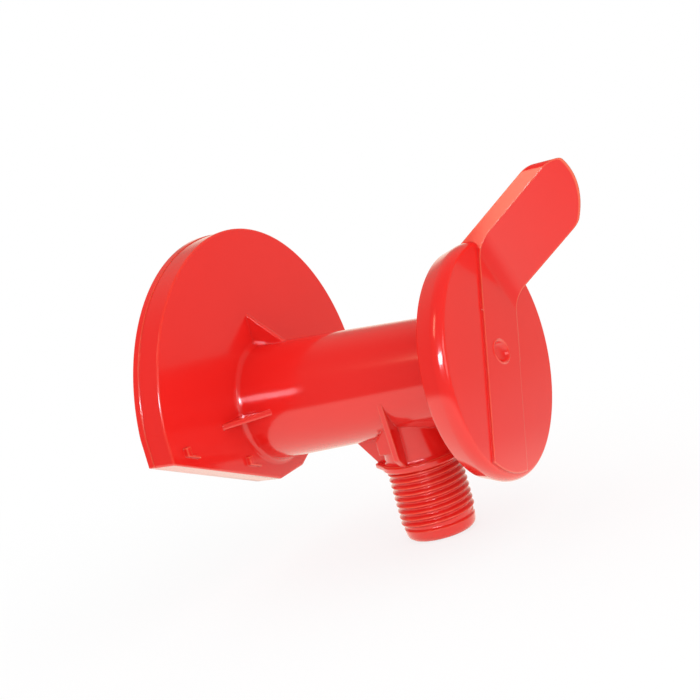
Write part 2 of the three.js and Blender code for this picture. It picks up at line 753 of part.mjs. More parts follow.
// The screw that holds the knob on the stem, with a cross recess in its head
function knobScrew() {
  const profile = [[headStart, 0], [headStart, screwHeadRadius / 2]];
  profile.push([headStart + screwHeadHeight / 2, screwHeadRadius], [headEnd, screwHeadRadius]);
  profile.push([headEnd, screwShankRadius], [screwEnd - screwShankRadius / 2, screwShankRadius]);
  profile.push([screwEnd, screwShankRadius / 2], [screwEnd, 0]);
  const half = crossSlotLength / 2;
  const width = crossSlotWidth / 2;
  const slot = [[-half, -width], [half, -width], [half, width], [-half, width]];
  const cut = raised(outlineOf(slot), alongY, alongZ, crossSlotDepth + cutOverrun);
  const cross = cut.add(turnAboutX(cut, Math.PI / 2)).translate([headStart - cutOverrun, 0, 0]);
  return turnedX(profile, smallSegments).subtract(cross);
}

// The sealing washer between the screw's head and the rotor's bore floor
function screwSeal() {
  const end = screwSealStart + screwSealThickness;
  return ringX(screwSealStart, end, screwShankRadius + seatGap, screwSealRadius, smallSegments);
}

// The brass insert in the knob's hub that takes the screw's thread
function knobInsert() {
  return ringX(insertStart, insertEnd, screwShankRadius + snugGap, insertRadius, smallSegments);
}

// A named mesh with a material of its own
function piece(name, solid, material) {
  const mesh = new THREE.Mesh(geometryFrom(solid), material.clone());
  mesh.name = name;
  return mesh;
}

const body = new THREE.Group();
body.add(
  piece("valve_body", valveBody(), redPlastic),
  piece("hull_gasket", hullGasket(), blackRubber),
  piece("thrust_washer", thrustWasher(), whitePlastic),
  piece("stem_washer", stemWasher(), stainless),
);

const handle = new THREE.Group();
handle.rotation.x = -openAngle;
handle.add(
  piece("rotor", rotorSolid(), whitePlastic),
  piece("inlet_o_ring", oRing(innerGroove, grooveWidth, oRingSection, rotorRadius), blackRubber),
  piece("outlet_o_ring", oRing(outerGroove, grooveWidth, oRingSection, rotorRadius), blackRubber),
  piece("stem_o_ring", oRing(stemGroove, stemGrooveWidth, stemRingSection, stemRadius), blackRubber),
  piece("shutoff_pad", shutoffPad(), blackRubber),
  piece("knob", knobSolid(), redPlastic),
  piece("stem_clip", stemClip(), stainless),
  piece("knob_insert", knobInsert(), brass),
  piece("knob_screw", knobScrew(), stainless),
  piece("screw_seal", screwSeal(), blackRubber),
);

const valve = new THREE.Group();
valve.add(body, handle);

export default valve;
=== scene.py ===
"""Seacock valve: the finished look of every piece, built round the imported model.

Sizes are millimetres in the model's own frame, and a mesh is turned to metres
when it is finished. The studio's sizes are metres. The origin is the centre of
the hull flange's back face, +X runs along the barrel to the knob and +Z points
away from the threaded outlet.
"""

import logging
import math
from dataclasses import dataclass
from enum import Enum
from typing import Optional, Sequence, Union

import bmesh
import bpy
from mathutils import Matrix, Vector


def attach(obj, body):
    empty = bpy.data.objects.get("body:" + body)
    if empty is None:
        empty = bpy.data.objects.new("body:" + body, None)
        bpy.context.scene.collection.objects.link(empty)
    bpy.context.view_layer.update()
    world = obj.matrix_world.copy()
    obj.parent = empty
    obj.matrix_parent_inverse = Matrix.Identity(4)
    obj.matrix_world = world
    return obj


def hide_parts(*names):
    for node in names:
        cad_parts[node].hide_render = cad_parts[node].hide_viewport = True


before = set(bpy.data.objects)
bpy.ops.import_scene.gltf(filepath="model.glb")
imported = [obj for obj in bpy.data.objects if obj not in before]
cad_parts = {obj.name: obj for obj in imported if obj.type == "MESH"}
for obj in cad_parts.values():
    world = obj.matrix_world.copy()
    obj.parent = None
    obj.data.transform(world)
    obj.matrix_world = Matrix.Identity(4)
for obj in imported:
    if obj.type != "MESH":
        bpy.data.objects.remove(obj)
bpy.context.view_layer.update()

Pair = tuple[float, float]
Triple = tuple[float, float, float]
Source = Union[bpy.types.Node, bpy.types.NodeSocket]

LOG = logging.getLogger("seacock_valve")

METRES = 0.001
# Points of a mesh that are nearer than this are one point.
MERGE = 1e-4
# How far a cut runs past the face that it opens.
OVERRUN = 1.0
# Gaps round turning pieces, seated pieces and pieces that fit snugly.
RUN_CLEARANCE = 0.3
SEAT_GAP = 0.3
SNUG_GAP = 0.12
# Facets round large, middling and small turned forms.
WIDE_STEPS = 192
ROUND_STEPS = 128
SMALL_STEPS = 64
# The corners of a faceted outline turn by less than this, and aren't rounded.
OUTLINE_LIMIT = 50.0
# The knob's turn from the open stop in the photograph, and its whole travel.
OPEN_ANGLE = 25.0
TRAVEL = 90.0

COLOUR_MIX = {"data_type": "RGBA"}
NUMBER_MIX = {"data_type": "FLOAT"}
SMOOTH = {"interpolation_type": "SMOOTHSTEP"}


class Plane(Enum):
    """The two axes that an outline is drawn on; the third is the way it is raised."""

    YZ = (Vector((0, 1, 0)), Vector((0, 0, 1)))
    ZX = (Vector((0, 0, 1)), Vector((1, 0, 0)))
    XY = (Vector((1, 0, 0)), Vector((0, 1, 0)))


class Spin(Enum):
    """The axis that a turned profile goes round, and the one its first radius points along."""

    X = (Vector((1, 0, 0)), Vector((0, 1, 0)))
    Y = (Vector((0, 1, 0)), Vector((0, 0, 1)))
    Z = (Vector((0, 0, 1)), Vector((1, 0, 0)))


class Body(Enum):
    """The two rigid bodies of the valve."""

    FIXED = "body"
    HANDLE = "handle"


class Slot(Enum):
    """The record's material slots."""

    RED = "red_plastic"
    WHITE = "white_plastic"
    RUBBER = "black_rubber"
    STEEL = "stainless"
    BRASS = "brass"


Dressing = dict[Slot, bpy.types.Material]


def basis(first: Vector, second: Vector) -> Matrix:
    """Build the turn whose columns are two axes and their cross product."""
    return Matrix((first, second, first.cross(second))).transposed().to_4x4()


def arc(centre: Pair, radius: float, start: float, end: float, steps: int) -> list[Pair]:
    """List points along an arc, both ends included.

    Args:
        centre: Centre of the arc.
        radius: Radius of the arc.
        start: First angle in degrees.
        end: Last angle in degrees.
        steps: Number of chords.

    Returns:
        The points in order.
    """
    angles = [math.radians(start + (end - start) * i / steps) for i in range(steps + 1)]
    return [(centre[0] + radius * math.cos(a), centre[1] + radius * math.sin(a)) for a in angles]


def sector(inner: float, outer: float, start: float, end: float, steps: int) -> list[Pair]:
    """Draw a piece of a ring between two angles in degrees."""
    return arc((0, 0), outer, start, end, steps) + arc((0, 0), inner, end, start, steps)


def rectangle(half_width: float, half_height: float) -> list[Pair]:
    """Draw a rectangle round the origin."""
    width, height = half_width, half_height
    return [(-width, -height), (width, -height), (width, height), (-width, height)]


class Solid:
    """A closed mesh in millimetres that can be joined, cut and rounded."""

    def __init__(self, mesh: bmesh.types.BMesh) -> None:
        """Keep a mesh as a hidden working object.

        Args:
            mesh: The closed mesh, which is used up.
        """
        bmesh.ops.recalc_face_normals(mesh, faces=mesh.faces)
        data = bpy.data.meshes.new("working")
        mesh.to_mesh(data)
        mesh.free()
        self.body = bpy.data.objects.new("working", data)
        bpy.context.scene.collection.objects.link(self.body)

    @classmethod
    def turned(
        cls,
        profile: Sequence[Pair],
        spin: Spin = Spin.X,
        steps: int = ROUND_STEPS,
        centre: Triple = (0, 0, 0),
    ) -> "Solid":
        """Turn a profile about an axis.

        Args:
            profile: Points as (place along the axis, radius). It starts and ends on
                the axis, or else closes on itself as a ring.
            spin: The axis.
            steps: Facets round the axis.
            centre: A point that the axis goes through.

        Returns:
            The turned solid.
        """
        mesh = bmesh.new()
        angles = [2 * math.pi * i / steps for i in range(steps)]
        rings = []
        for along, radius in profile:
            if radius < MERGE:
                rings.append([mesh.verts.new((along, 0, 0))] * steps)
            else:
                ring = [(along, radius * math.cos(a), radius * math.sin(a)) for a in angles]
                rings.append([mesh.verts.new(point) for point in ring])
        pairs = list(zip(rings, rings[1:]))
        if profile[0][1] > MERGE:
            pairs.append((rings[-1], rings[0]))
        for near, far in pairs:
            for i in range(steps):
                j = (i + 1) % steps
                corners = list(dict.fromkeys((near[i], near[j], far[j], far[i])))
                if len(corners) > 2:
                    mesh.faces.new(corners)
        mesh.transform(Matrix.Translation(Vector(centre)) @ basis(*spin.value))
        return cls(mesh)

    @classmethod
    def rod(cls, start: float, end: float, radius: float, steps: int = ROUND_STEPS) -> "Solid":
        """Build a plain round rod along X."""
        return cls.turned([(start, 0), (start, radius), (end, radius), (end, 0)], steps=steps)

    @classmethod
    def tube(cls, start: float, end: float, inner: float, outer: float) -> "Solid":
        """Build a plain wide ring along X."""
        return cls.turned([(start, inner), (start, outer), (end, outer), (end, inner)], steps=WIDE_STEPS)

    @classmethod
    def raised(
        cls, outline: Sequence[Pair], plane: Plane, low: float, high: float, foot: float = 1.0
    ) -> "Solid":
        """Raise an outline between two heights.

        Args:
            outline: Corners of the outline.
            plane: The axes that it is drawn on.
            low: Lower height.
            high: Upper height.
            foot: Scale of the lower end, for drafted sides.

        Returns:
            The raised solid.
        """
        bottom = [Vector((u * foot, v * foot, low)) for u, v in outline]
        top = [Vector((u, v, high)) for u, v in outline]
        return cls.swept([bottom, top], basis(*plane.value))

    @classmethod
    def swept(cls, sections: Sequence[Sequence[Vector]], turn: Matrix = Matrix()) -> "Solid":
        """Skin a row of like sections and close both ends.

        Args:
            sections: Corner points of each section, in order.
            turn: The turn from the sections' axes to the model's frame.

        Returns:
            The swept solid.
        """
        mesh = bmesh.new()
        rows = [[mesh.verts.new(point) for point in section] for section in sections]
        count = len(rows[0])
        for near, far in zip(rows, rows[1:]):
            for i in range(count):
                j = (i + 1) % count
                mesh.faces.new((near[i], near[j], far[j], far[i]))
        mesh.faces.new(rows[0])
        mesh.faces.new(rows[-1])
        mesh.transform(turn)
        return cls(mesh)

    def _combine(self, others: Sequence["Solid"], operation: str) -> "Solid":
        """Join, cut or overlap with other solids, which are used up.

        Args:
            others: The other solids.
            operation: Blender's name of the operation.

        Returns:
            This solid.
        """
        for other in others:
            modifier = self.body.modifiers.new("combine", "BOOLEAN")
            modifier.operation = operation
            modifier.solver = "MANIFOLD"
            modifier.object = other.body
            graph = bpy.context.evaluated_depsgraph_get()
            made = bpy.data.meshes.new_from_object(self.body.evaluated_get(graph))
            self.body.modifiers.clear()
            old = (self.body.data, other.body.data)
            self.body.data = made
            bpy.data.objects.remove(other.body)
            for data in old:
                bpy.data.meshes.remove(data)
        return self

    def add(self, *others: "Solid") -> "Solid":
        """Join other solids on."""
        return self._combine(others, "UNION")

    def cut(self, *others: "Solid") -> "Solid":
        """Cut other solids away."""
        return self._combine(others, "DIFFERENCE")

    def keep(self, other: "Solid") -> "Solid":
        """Keep only what lies inside another solid."""
        return self._combine([other], "INTERSECT")

    def moved(self, *shift: float) -> "Solid":
        """Move by a distance along each axis."""
        self.body.data.transform(Matrix.Translation(Vector(shift)))
        return self

    def tilted(self, degrees: float) -> "Solid":
        """Turn about the X axis."""
        self.body.data.transform(Matrix.Rotation(math.radians(degrees), 4, "X"))
        return self

    def stretched(self, *scales: float) -> "Solid":
        """Stretch by a scale along each axis."""
        self.body.data.transform(Matrix.Diagonal((*scales, 1)))
        return self

    def rounded(self, radius: float, steps: int = 3, sharper_than: float = 40.0) -> "Solid":
        """Round every edge that is sharper than an angle.

        Args:
            radius: Radius of the rounding.
            steps: Facets across it.
            sharper_than: Least angle between two faces, in degrees.

        Returns:
            This solid.
        """
        mesh = bmesh.new()
        mesh.from_mesh(self.body.data)
        bmesh.ops.remove_doubles(mesh, verts=mesh.verts, dist=MERGE)
        nearly_flat = math.radians(0.05)
        bmesh.ops.dissolve_limit(mesh, angle_limit=nearly_flat, verts=mesh.verts, edges=mesh.edges)
        limit = math.radians(sharper_than)
        edges = [e for e in mesh.edges if len(e.link_faces) == 2 and e.calc_face_angle() > limit]
        bmesh.ops.bevel(
            mesh, geom=edges, offset=radius, segments=steps, profile=0.5, affect="EDGES",
            clamp_overlap=True,
        )
        mesh.to_mesh(self.body.data)
        mesh.free()
        return self

    def finish(
        self, name: str, body: Body, node: str, slot: Slot, dressing: Dressing, sharp: float = 32.0
    ) -> None:
        """Turn the solid into a finished piece of the valve.

        Args:
            name: Name of the piece.
            body: The rigid body that it rides on.
            node: The model's node that it stands for.
            slot: Its material slot.
            dressing: The material of each slot.
            sharp: Angle in degrees above which an edge stays sharp.
        """
        mesh = bmesh.new()
        mesh.from_mesh(self.body.data)
        bmesh.ops.remove_doubles(mesh, verts=mesh.verts, dist=MERGE)
        bmesh.ops.dissolve_degenerate(mesh, edges=mesh.edges, dist=MERGE)
        limit = math.radians(sharp)
        for face in mesh.faces:
            face.smooth = True
        for edge in mesh.edges:
            edge.smooth = len(edge.link_faces) == 2 and edge.calc_face_angle() < limit
        mesh.transform(Matrix.Scale(METRES, 4))
        mesh.to_mesh(self.body.data)
        mesh.free()
        piece = self.body
        piece.name = name
        piece.data.name = name
        piece.data.materials.clear()
        piece.data.materials.append(dressing[slot])
        weigh = piece.modifiers.new("even_normals", "WEIGHTED_NORMAL")
        weigh.keep_sharp = True
        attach(piece, body.value)
        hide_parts(node)
        LOG.info("%s: %d faces", name, len(piece.data.polygons))


def linear(colour: str) -> tuple[float, float, float, float]:
    """Turn an sRGB hex colour into linear light.

    Args:
        colour: Six hex digits after a hash.

    Returns:
        Red, green, blue and a full alpha.
    """
    parts = [int(colour[i : i + 2], 16) / 255 for i in (1, 3, 5)]
    light = [c / 12.92 if c <= 0.04045 else ((c + 0.055) / 1.055) ** 2.4 for c in parts]
    return (*light, 1.0)


def per_mm(size: float) -> float:
    """Scale of a pattern whose features are a size in millimetres, on metre coordinates."""
    return 1 / (size * METRES)


def add_node(
    tree: bpy.types.NodeTree,
    kind: str,
    settings: Optional[dict[str, object]] = None,
    **inputs: object,
) -> bpy.types.Node:
    """Add a node with its settings, its socket values and its links.

    Args:
        tree: The node tree.
        kind: Node type, without the words ShaderNode in front.
        settings: Values of the node's own properties.
        **inputs: What goes into each input: a value, an output socket, or a node,
            which stands for its first live output. An input is named in lower case
            with underscores, or as in_0 for a socket by number.

    Returns:
        The node.
    """
    made = tree.nodes.new("ShaderNode" + kind)
    for key, value in (settings or {}).items():
        setattr(made, key, value)
    for key, value in inputs.items():
        if key.startswith("in_"):
            socket = made.inputs[int(key[3:])]
        else:
            wanted = key.replace("_", " ")
            socket = next(s for s in made.inputs if s.name.lower() == wanted and s.enabled)
        if isinstance(value, bpy.types.Node):
            value = next(s for s in value.outputs if s.enabled)
        if isinstance(value, bpy.types.NodeSocket):
            tree.links.new(value, socket)
        else:
            socket.default_value = value
    return made


def new_material(name: str) -> tuple[bpy.types.Material, bpy.types.NodeTree]:
    """Start a material with an empty node tree.

    Args:
        name: Name of the material.

    Returns:
        The material and its tree.
    """
    material = bpy.data.materials.new(name)
    material.use_nodes = True
    material.node_tree.nodes.clear()
    return material, material.node_tree


@dataclass(frozen=True)
class MouldedPlastic:
    """Injection-moulded plastic from a polished or fine-blasted tool.

    The eye gets a clean, even colour that runs a little deeper where the flow ended, a
    clear reflection that waves slightly over thick sections, and small soft radii on
    every edge. Bright plastic can get a painted glow: its colour is painted lighter along
    thin edges and convex corners, standing in for light that comes through them.
    The tool's grain is a few hundredths of a millimetre, too fine to show, so it is
    drawn half a millimetre wide.
    """

    name: str
    colour: str
    deep_colour: str
    roughness: float
    roughness_spread: float
    ior: float = 1.5
    flow_size: float = 26.0
    wave_size: float = 9.0
    wave_height: float = 0.004
    grain_size: float = 0.5
    grain_height: float = 0.0006
    edge_radius: float = 0.35
    skin: float = 0.0
    skin_roughness: float = 0.08
    # Painted glow at thin edges: its colour, how deep the plastic is probed, and its strength.
    edge_glow_colour: str = "#ff8a62"
    edge_glow_depth: float = 0.5
    edge_glow_share: float = 0.0

    def painted_edge_glow(self, tree: bpy.types.NodeTree, colour: Source) -> bpy.types.Node:
        """Paint a lighter colour where little plastic lies behind the surface, at thin edges and convex
        corners: a painted glow that stands in for light coming through.

        Args:
            tree: The node tree.
            colour: The node with the colour.

        Returns:
            The node with the lightened colour.
        """
        depth = add_node(
            tree, "AmbientOcclusion", {"samples": 8, "inside": True, "only_local": True},
            distance=self.edge_glow_depth * METRES,
        )
        share = add_node(tree, "MapRange", value=depth.outputs["AO"], to_min=self.edge_glow_share, to_max=0)
        return add_node(tree, "Mix", COLOUR_MIX, in_0=share, in_6=colour, in_7=linear(self.edge_glow_colour))

    def build(self) -> bpy.types.Material:
        """Build the material.

        Returns:
            The material.
        """
        material, tree = new_material(self.name)
        place = add_node(tree, "TexCoord").outputs["Object"]
        flow = add_node(tree, "TexNoise", vector=place, scale=per_mm(self.flow_size), detail=2.0)
        colour = add_node(
            tree, "Mix", COLOUR_MIX, in_0=flow, in_6=linear(self.colour), in_7=linear(self.deep_colour)
        )
        # Painted glow: thin edges and convex corners are painted lighter, standing in for light coming
        # through.
        if self.edge_glow_share:
            colour = self.painted_edge_glow(tree, colour)
        wave = add_node(tree, "TexNoise", vector=place, scale=per_mm(self.wave_size), detail=1.0)
        grain = add_node(tree, "TexNoise", vector=place, scale=per_mm(self.grain_size), detail=3.0)
        gloss = add_node(
            tree, "MapRange", value=grain, to_min=self.roughness - self.roughness_spread,
            to_max=self.roughness + self.roughness_spread,
        )
        edge = add_node(tree, "Bevel", {"samples": 6}, radius=self.edge_radius * METRES)
        waved = add_node(
            tree, "Bump", strength=1.0, distance=self.wave_height * METRES, height=wave, normal=edge
        )
        grained = add_node(
            tree, "Bump", strength=1.0, distance=self.grain_height * METRES, height=grain, normal=waved
        )
        shader = add_node(
            tree, "BsdfPrincipled", base_color=colour, roughness=gloss, normal=grained, ior=self.ior,
            coat_weight=self.skin, coat_roughness=self.skin_roughness, coat_normal=waved,
        )
        add_node(tree, "OutputMaterial", surface=shader)
        return material


@dataclass(frozen=True)
class MouldedRubber:
    """Nitrile rubber from a plain steel mould.

    The eye gets a soft near-black with a dusty bloom in patches and a fine matt tooth,
    which is drawn a quarter of a millimetre wide so that it shows.
    """

    name: str
    colour: str
    bloom_colour: str
    roughness: float
    ior: float = 1.52
    bloom_size: float = 7.0
    bloom_spread: Pair = (-0.6, 1.3)
    gloss_spread: Pair = (-0.08, 0.12)
    tooth_size: float = 0.25
    tooth_height: float = 0.012
    tooth_strength: float = 0.6
    edge_radius: float = 0.25

    def build(self) -> bpy.types.Material:
        """Build the material.

        Returns:
            The material.
        """
        material, tree = new_material(self.name)
        place = add_node(tree, "TexCoord").outputs["Object"]
        bloom = add_node(tree, "TexNoise", vector=place, scale=per_mm(self.bloom_size), detail=4.0)
        share = add_node(
            tree, "MapRange", value=bloom, to_min=self.bloom_spread[0], to_max=self.bloom_spread[1]
        )
        colour = add_node(
            tree, "Mix", COLOUR_MIX, in_0=share, in_6=linear(self.colour), in_7=linear(self.bloom_colour)
        )
        gloss = add_node(
            tree, "MapRange", value=bloom, to_min=self.roughness + self.gloss_spread[0],
            to_max=self.roughness + self.gloss_spread[1],
        )
        tooth = add_node(tree, "TexNoise", vector=place, scale=per_mm(self.tooth_size), detail=2.0)
        edge = add_node(tree, "Bevel", {"samples": 4}, radius=self.edge_radius * METRES)
        bump = add_node(
            tree, "Bump", strength=self.tooth_strength, distance=self.tooth_height * METRES,
            height=tooth, normal=edge,
        )
        shader = add_node(
            tree, "BsdfPrincipled", base_color=colour, roughness=gloss, normal=bump, ior=self.ior
        )
        add_node(tree, "OutputMaterial", surface=shader)
        return material


@dataclass(frozen=True)
class WorkedMetal:
    """Metal that was turned or stamped, with the marks of the tool round its axis.

    The eye gets rings of fine bright and dull lines about the valve's axis, and a few
    duller patches from handling. The lines are drawn a fifth of a millimetre apart,
    coarser than the tool leaves them, so that they show.
    """

    name: str
    colour: str
    dull_colour: str
    roughness: float
    gloss_spread: Pair = (-0.08, 0.1)
    mark_size: float = 0.18
    mark_height: float = 0.004
    mark_strength: float = 0.5
    patch_size: float = 4.0
    patch_spread: Pair = (-0.5, 1.2)
    edge_radius: float = 0.15

    def build(self) -> bpy.types.Material:
        """Build the material.

        Returns:
            The material.
        """
        material, tree = new_material(self.name)
        place = add_node(tree, "TexCoord").outputs["Object"]
        parts = add_node(tree, "SeparateXYZ", vector=place).outputs
        across = add_node(tree, "CombineXYZ", x=parts["Y"], y=parts["Z"])
        reach = add_node(tree, "VectorMath", {"operation": "LENGTH"}, in_0=across)
        turning = add_node(tree, "CombineXYZ", x=reach, y=parts["X"])
        marks = add_node(tree, "TexNoise", vector=turning, scale=per_mm(self.mark_size), detail=3.0)
        patches = add_node(tree, "TexNoise", vector=place, scale=per_mm(self.patch_size), detail=4.0)
        share = add_node(
            tree, "MapRange", value=patches, to_min=self.patch_spread[0], to_max=self.patch_spread[1]
        )
        colour = add_node(
            tree, "Mix", COLOUR_MIX, in_0=share, in_6=linear(self.colour), in_7=linear(self.dull_colour)
        )
        gloss = add_node(
            tree, "MapRange", value=marks, to_min=self.roughness + self.gloss_spread[0],
            to_max=self.roughness + self.gloss_spread[1],
        )
        edge = add_node(tree, "Bevel", {"samples": 4}, radius=self.edge_radius * METRES)
        bump = add_node(
            tree, "Bump", strength=self.mark_strength, distance=self.mark_height * METRES,
            height=marks, normal=edge,
        )
        shader = add_node(
            tree, "BsdfPrincipled", base_color=colour, metallic=1.0, roughness=gloss, normal=bump
        )
        add_node(tree, "OutputMaterial", surface=shader)
        return material


# From a polished mould: one even, warm red under a clear gloss, with a painted lighter glow at thin edges.
RED_ABS = MouldedPlastic(
    "glossy_moulded_abs", "#ef2520", "#eb201b", 0.17, 0.03, ior=1.52, skin=0.65, edge_glow_share=0.85
)
# From a fine-blasted mould: milky white with a wide, soft sheen.
WHITE_ACETAL = MouldedPlastic(
    "satin_moulded_acetal", "#e9e6df", "#dedad1", 0.36, 0.05, grain_height=0.003
)
# From a steel mould: near-black and matt, with a little dust.
NITRILE = MouldedRubber("moulded_nitrile_rubber", "#1b1b1d", "#2b2b2c", 0.68)
# From a lathe or a press: pale grey with fine bright rings.
STAINLESS_STEEL = WorkedMetal("turned_stainless_steel", "#c6c8ca", "#a9abad", 0.26)
# From a lathe: the same rings in a warm yellow.
BRASS = WorkedMetal("turned_brass", "#d9b25c", "#b98f42", 0.28)


@dataclass
class Layout:
    """Sizes and places that several pieces share."""

    flange_depth: float = 8.8
    barrel_length: float = 66.4
    nose_radius: float = 14.7
    outlet_reach: float = 43.6
    nose_entry: float = 1.8
    bore_radius: float = 12.0
    outlet_bore_radius: float = 7.2
    rotor_setback: float = 1.7
    ring_section: float = 2.2
    stem_ring_section: float = 1.6
    groove_side: float = 0.25
    seal_land: float = 0.8
    pad_wall: float = 1.1
    head_wall: float = 4.0
    nose_wall: float = 3.8
    thrust_washer: float = 1.0
    stem_washer: float = 0.8
    clip: float = 1.0
    stem_radius: float = 6.0
    stem_shoulder: float = 0.8
    drive_size: float = 8.2
    drive_length: float = 5.0
    hub_radius: float = 9.0
    knob_depth: float = 8.6
    bar_rise: float = 0.7
    insert_radius: float = 2.9
    insert_length: float = 3.2
    stop_half_angle: float = 8.0
    stop_rise: float = 1.4
    stop_inner: float = 10.6
    stop_outer: float = 13.4

    def __post_init__(self) -> None:
        """Work out the places that follow from the sizes."""
        self.knob_back = self.flange_depth + self.barrel_length
        self.knob_face = self.knob_back + self.knob_depth
        self.bar_face = self.knob_face + self.bar_rise
        self.nose_end = self.knob_back + self.nose_entry
        self.outlet_x = self.flange_depth + self.outlet_reach
        self.rotor_radius = self.bore_radius - RUN_CLEARANCE
        self.rotor_start = self.flange_depth + self.rotor_setback
        self.pad_radius = self.outlet_bore_radius + self.pad_wall
        self.groove_width = self.ring_section + 2 * self.groove_side
        self.inner_groove = self.rotor_start + self.seal_land
        self.outer_groove = self.outlet_x + self.pad_radius + SNUG_GAP + self.seal_land
        self.rotor_end = self.outer_groove + self.groove_width + self.seal_land
        self.rotor_bore_end = self.rotor_end - self.head_wall
        self.bore_end = self.rotor_end + self.thrust_washer + 2 * SEAT_GAP
        self.counterbore = self.bore_end + self.nose_wall
        self.stem_groove_width = self.stem_ring_section + 2 * self.groove_side
        self.stem_groove = (self.bore_end + self.counterbore - self.stem_groove_width) / 2
        self.washer_start = self.counterbore + SEAT_GAP
        self.clip_start = self.washer_start + self.stem_washer + SNUG_GAP
        self.clip_end = self.clip_start + self.clip
        self.drive_start = self.clip_end + SNUG_GAP + self.stem_shoulder
        self.hub_start = self.drive_start + SNUG_GAP
        self.drive_end = self.drive_start + self.drive_length
        self.socket_end = self.drive_end + SEAT_GAP
        self.insert_start = self.socket_end + SNUG_GAP
        self.insert_end = self.insert_start + self.insert_length


@dataclass
class ValveBody:
    """The one-piece moulding: flange, barrel, gussets, outlet neck and threaded spout."""

    at: Layout
    flange_radius: float = 51.5
    flange_plate: float = 3.2
    flange_wall: float = 2.6
    flange_side: float = 51.2
    corner_drop: float = 2.7
    foot_drop: float = 21.9
    foot_half: float = 6.3
    flange_draft: float = 0.6
    flange_edge: float = 0.55
    lip_depth: float = 2.0
    lip_rise: float = 0.4
    spigot_wall: float = 3.2
    soft_edge: float = 0.4
    root_radius: float = 17.1
    root_fillet: float = 1.6
    gusset_height: float = 9.6
    gusset_length: float = 10.2
    gusset_thickness: float = 1.6
    gusset_sink: float = 0.8
    gusset_edge: float = 0.45
    gusset_angles: Triple = (0.0, 90.0, 180.0)
    catch_inset: float = 2.8
    catch_height: float = 2.4
    catch_width: float = 4.8
    catch_upright: float = 1.75
    catch_rise: float = 1.3
    catch_thickness: float = 0.7
    catch_edge: float = 0.2
    catch_shares: Pair = (0.12, 0.69)
    outlet_drop: float = 44.9
    neck_radius: float = 10.3
    neck_fillet: float = 1.0
    block_half: float = 10.6
    block_reach: float = 7.1
    block_drop: float = 18.6
    block_chamfer: float = 4.2
    block_edge: float = 0.5
    collar_radius: float = 11.5
    collar_depth: float = 2.0
    collar_drop: float = 24.4
    collar_edge: float = 0.4
    thread_radius: float = 10.65
    thread_pitch: float = 1.814
    thread_depth: float = 1.05
    # Half widths of the ridge in pitches: at its crest, at its shoulder and at its foot.
    # With the last two go their depths, under the crest and under the root.
    thread_crest: float = 0.05
    thread_shoulder: Pair = (0.14, 0.12)
    thread_foot: Pair = (0.46, 0.25)
    core_turns: float = 9.0
    thread_reach: float = 8.9
    thread_turns: float = 9.3
    thread_fade: float = 0.2
    thread_run_in: float = 0.5
    thread_steps: int = 72
    end_band_radius: float = 10.2
    end_band_taper: float = 0.3
    end_chamfer: float = 1.3
    end_chamfer_bend: float = 0.45
    web_thickness: float = 1.8
    web_edge: float = 0.3
    side_web_top: float = 3.4
    side_web_bottom: float = 19.8
    side_web_reach: float = 14.2
    rear_web_top: float = 18.4
    rear_web_foot: float = 13.5
    rear_web_edge: float = 0.35
    rear_foot_half: float = 3.2
    rear_foot_lift: float = 0.6
    stem_gap: float = 0.25
    hub_gap: float = 0.4
    stop_edge: float = 0.2

    def __post_init__(self) -> None:
        """Work out the heights that the neck's pieces share."""
        self.collar_low = -self.collar_drop
        self.collar_high = self.collar_depth - self.collar_drop
        self.rear_foot_low = self.rear_foot_lift - self.collar_drop

    def barrel_radius(self, x: float) -> float:
        """Barrel radius at a place along X."""
        share = (x - self.at.flange_depth) / self.at.barrel_length
        return self.root_radius + share * (self.at.nose_radius - self.root_radius)

    def flange_outline(self, inset: float) -> list[Pair]:
        """Draw the flange's outline: a disc whose lower edge is roof-shaped.

        Args:
            inset: How far the outline is drawn in.

        Returns:
            The corners, in Y and Z.
        """
        radius = self.flange_radius - inset
        side = self.flange_side - inset
        foot = self.foot_drop - inset
        slope = math.atan2(self.foot_drop - self.corner_drop, self.flange_side - self.foot_half)
        reach = self.foot_half * math.sin(slope) + self.foot_drop * math.cos(slope) - inset
        foot_half = (reach - foot * math.cos(slope)) / math.sin(slope)
        corner = (side * math.sin(slope) - reach) / math.cos(slope)
        start = math.degrees(math.acos(side / radius))
        crown = arc((0, 0), radius, start, 180 - start, WIDE_STEPS)
        return [(-foot_half, -foot), (foot_half, -foot), (side, corner), *crown, (-side, corner)]

    def flange(self) -> Solid:
        """Build the shallow cup with its back lip and the spigot inside.

        Returns:
            The flange.
        """
        depth = self.at.flange_depth
        foot = 1 - self.flange_draft / self.flange_radius
        cup = Solid.raised(self.flange_outline(0), Plane.YZ, 0, depth, foot)
        cup.rounded(self.flange_edge, 4, OUTLINE_LIMIT)
        lip = Solid.raised(
            self.flange_outline(self.flange_draft - self.lip_rise), Plane.YZ, 0, self.lip_depth
        )
        lip.rounded(self.lip_rise / 2, 2, OUTLINE_LIMIT)
        hollow = Solid.raised(
            self.flange_outline(self.flange_wall), Plane.YZ, -OVERRUN, depth - self.flange_plate
        )
        outer = self.at.bore_radius + self.spigot_wall
        edge = self.soft_edge
        end = depth - OVERRUN
        spigot = Solid.turned([(0, 0), (0, outer - edge), (edge, outer), (end, outer), (end, 0)])
        return cup.add(lip).cut(hollow).add(spigot)

    def barrel(self) -> Solid:
        """Build the tapered barrel with a fillet at the flange and a soft nose.

        Returns:
            The barrel.
        """
        at = self.at
        top = at.flange_depth + self.root_fillet
        radius = self.barrel_radius(top)
        root = arc((top, radius + self.root_fillet), self.root_fillet, 180, 270, 10)
        edge = self.soft_edge
        nose = arc((at.nose_end - edge, at.nose_radius - edge), edge, 90, 0, 4)
        start = at.flange_depth - self.flange_plate
        profile = [(start, 0), (start, radius + self.root_fillet), *root]
        profile += [(at.knob_back, at.nose_radius), *nose, (at.nose_end, 0)]
        return Solid.turned(profile, steps=WIDE_STEPS)

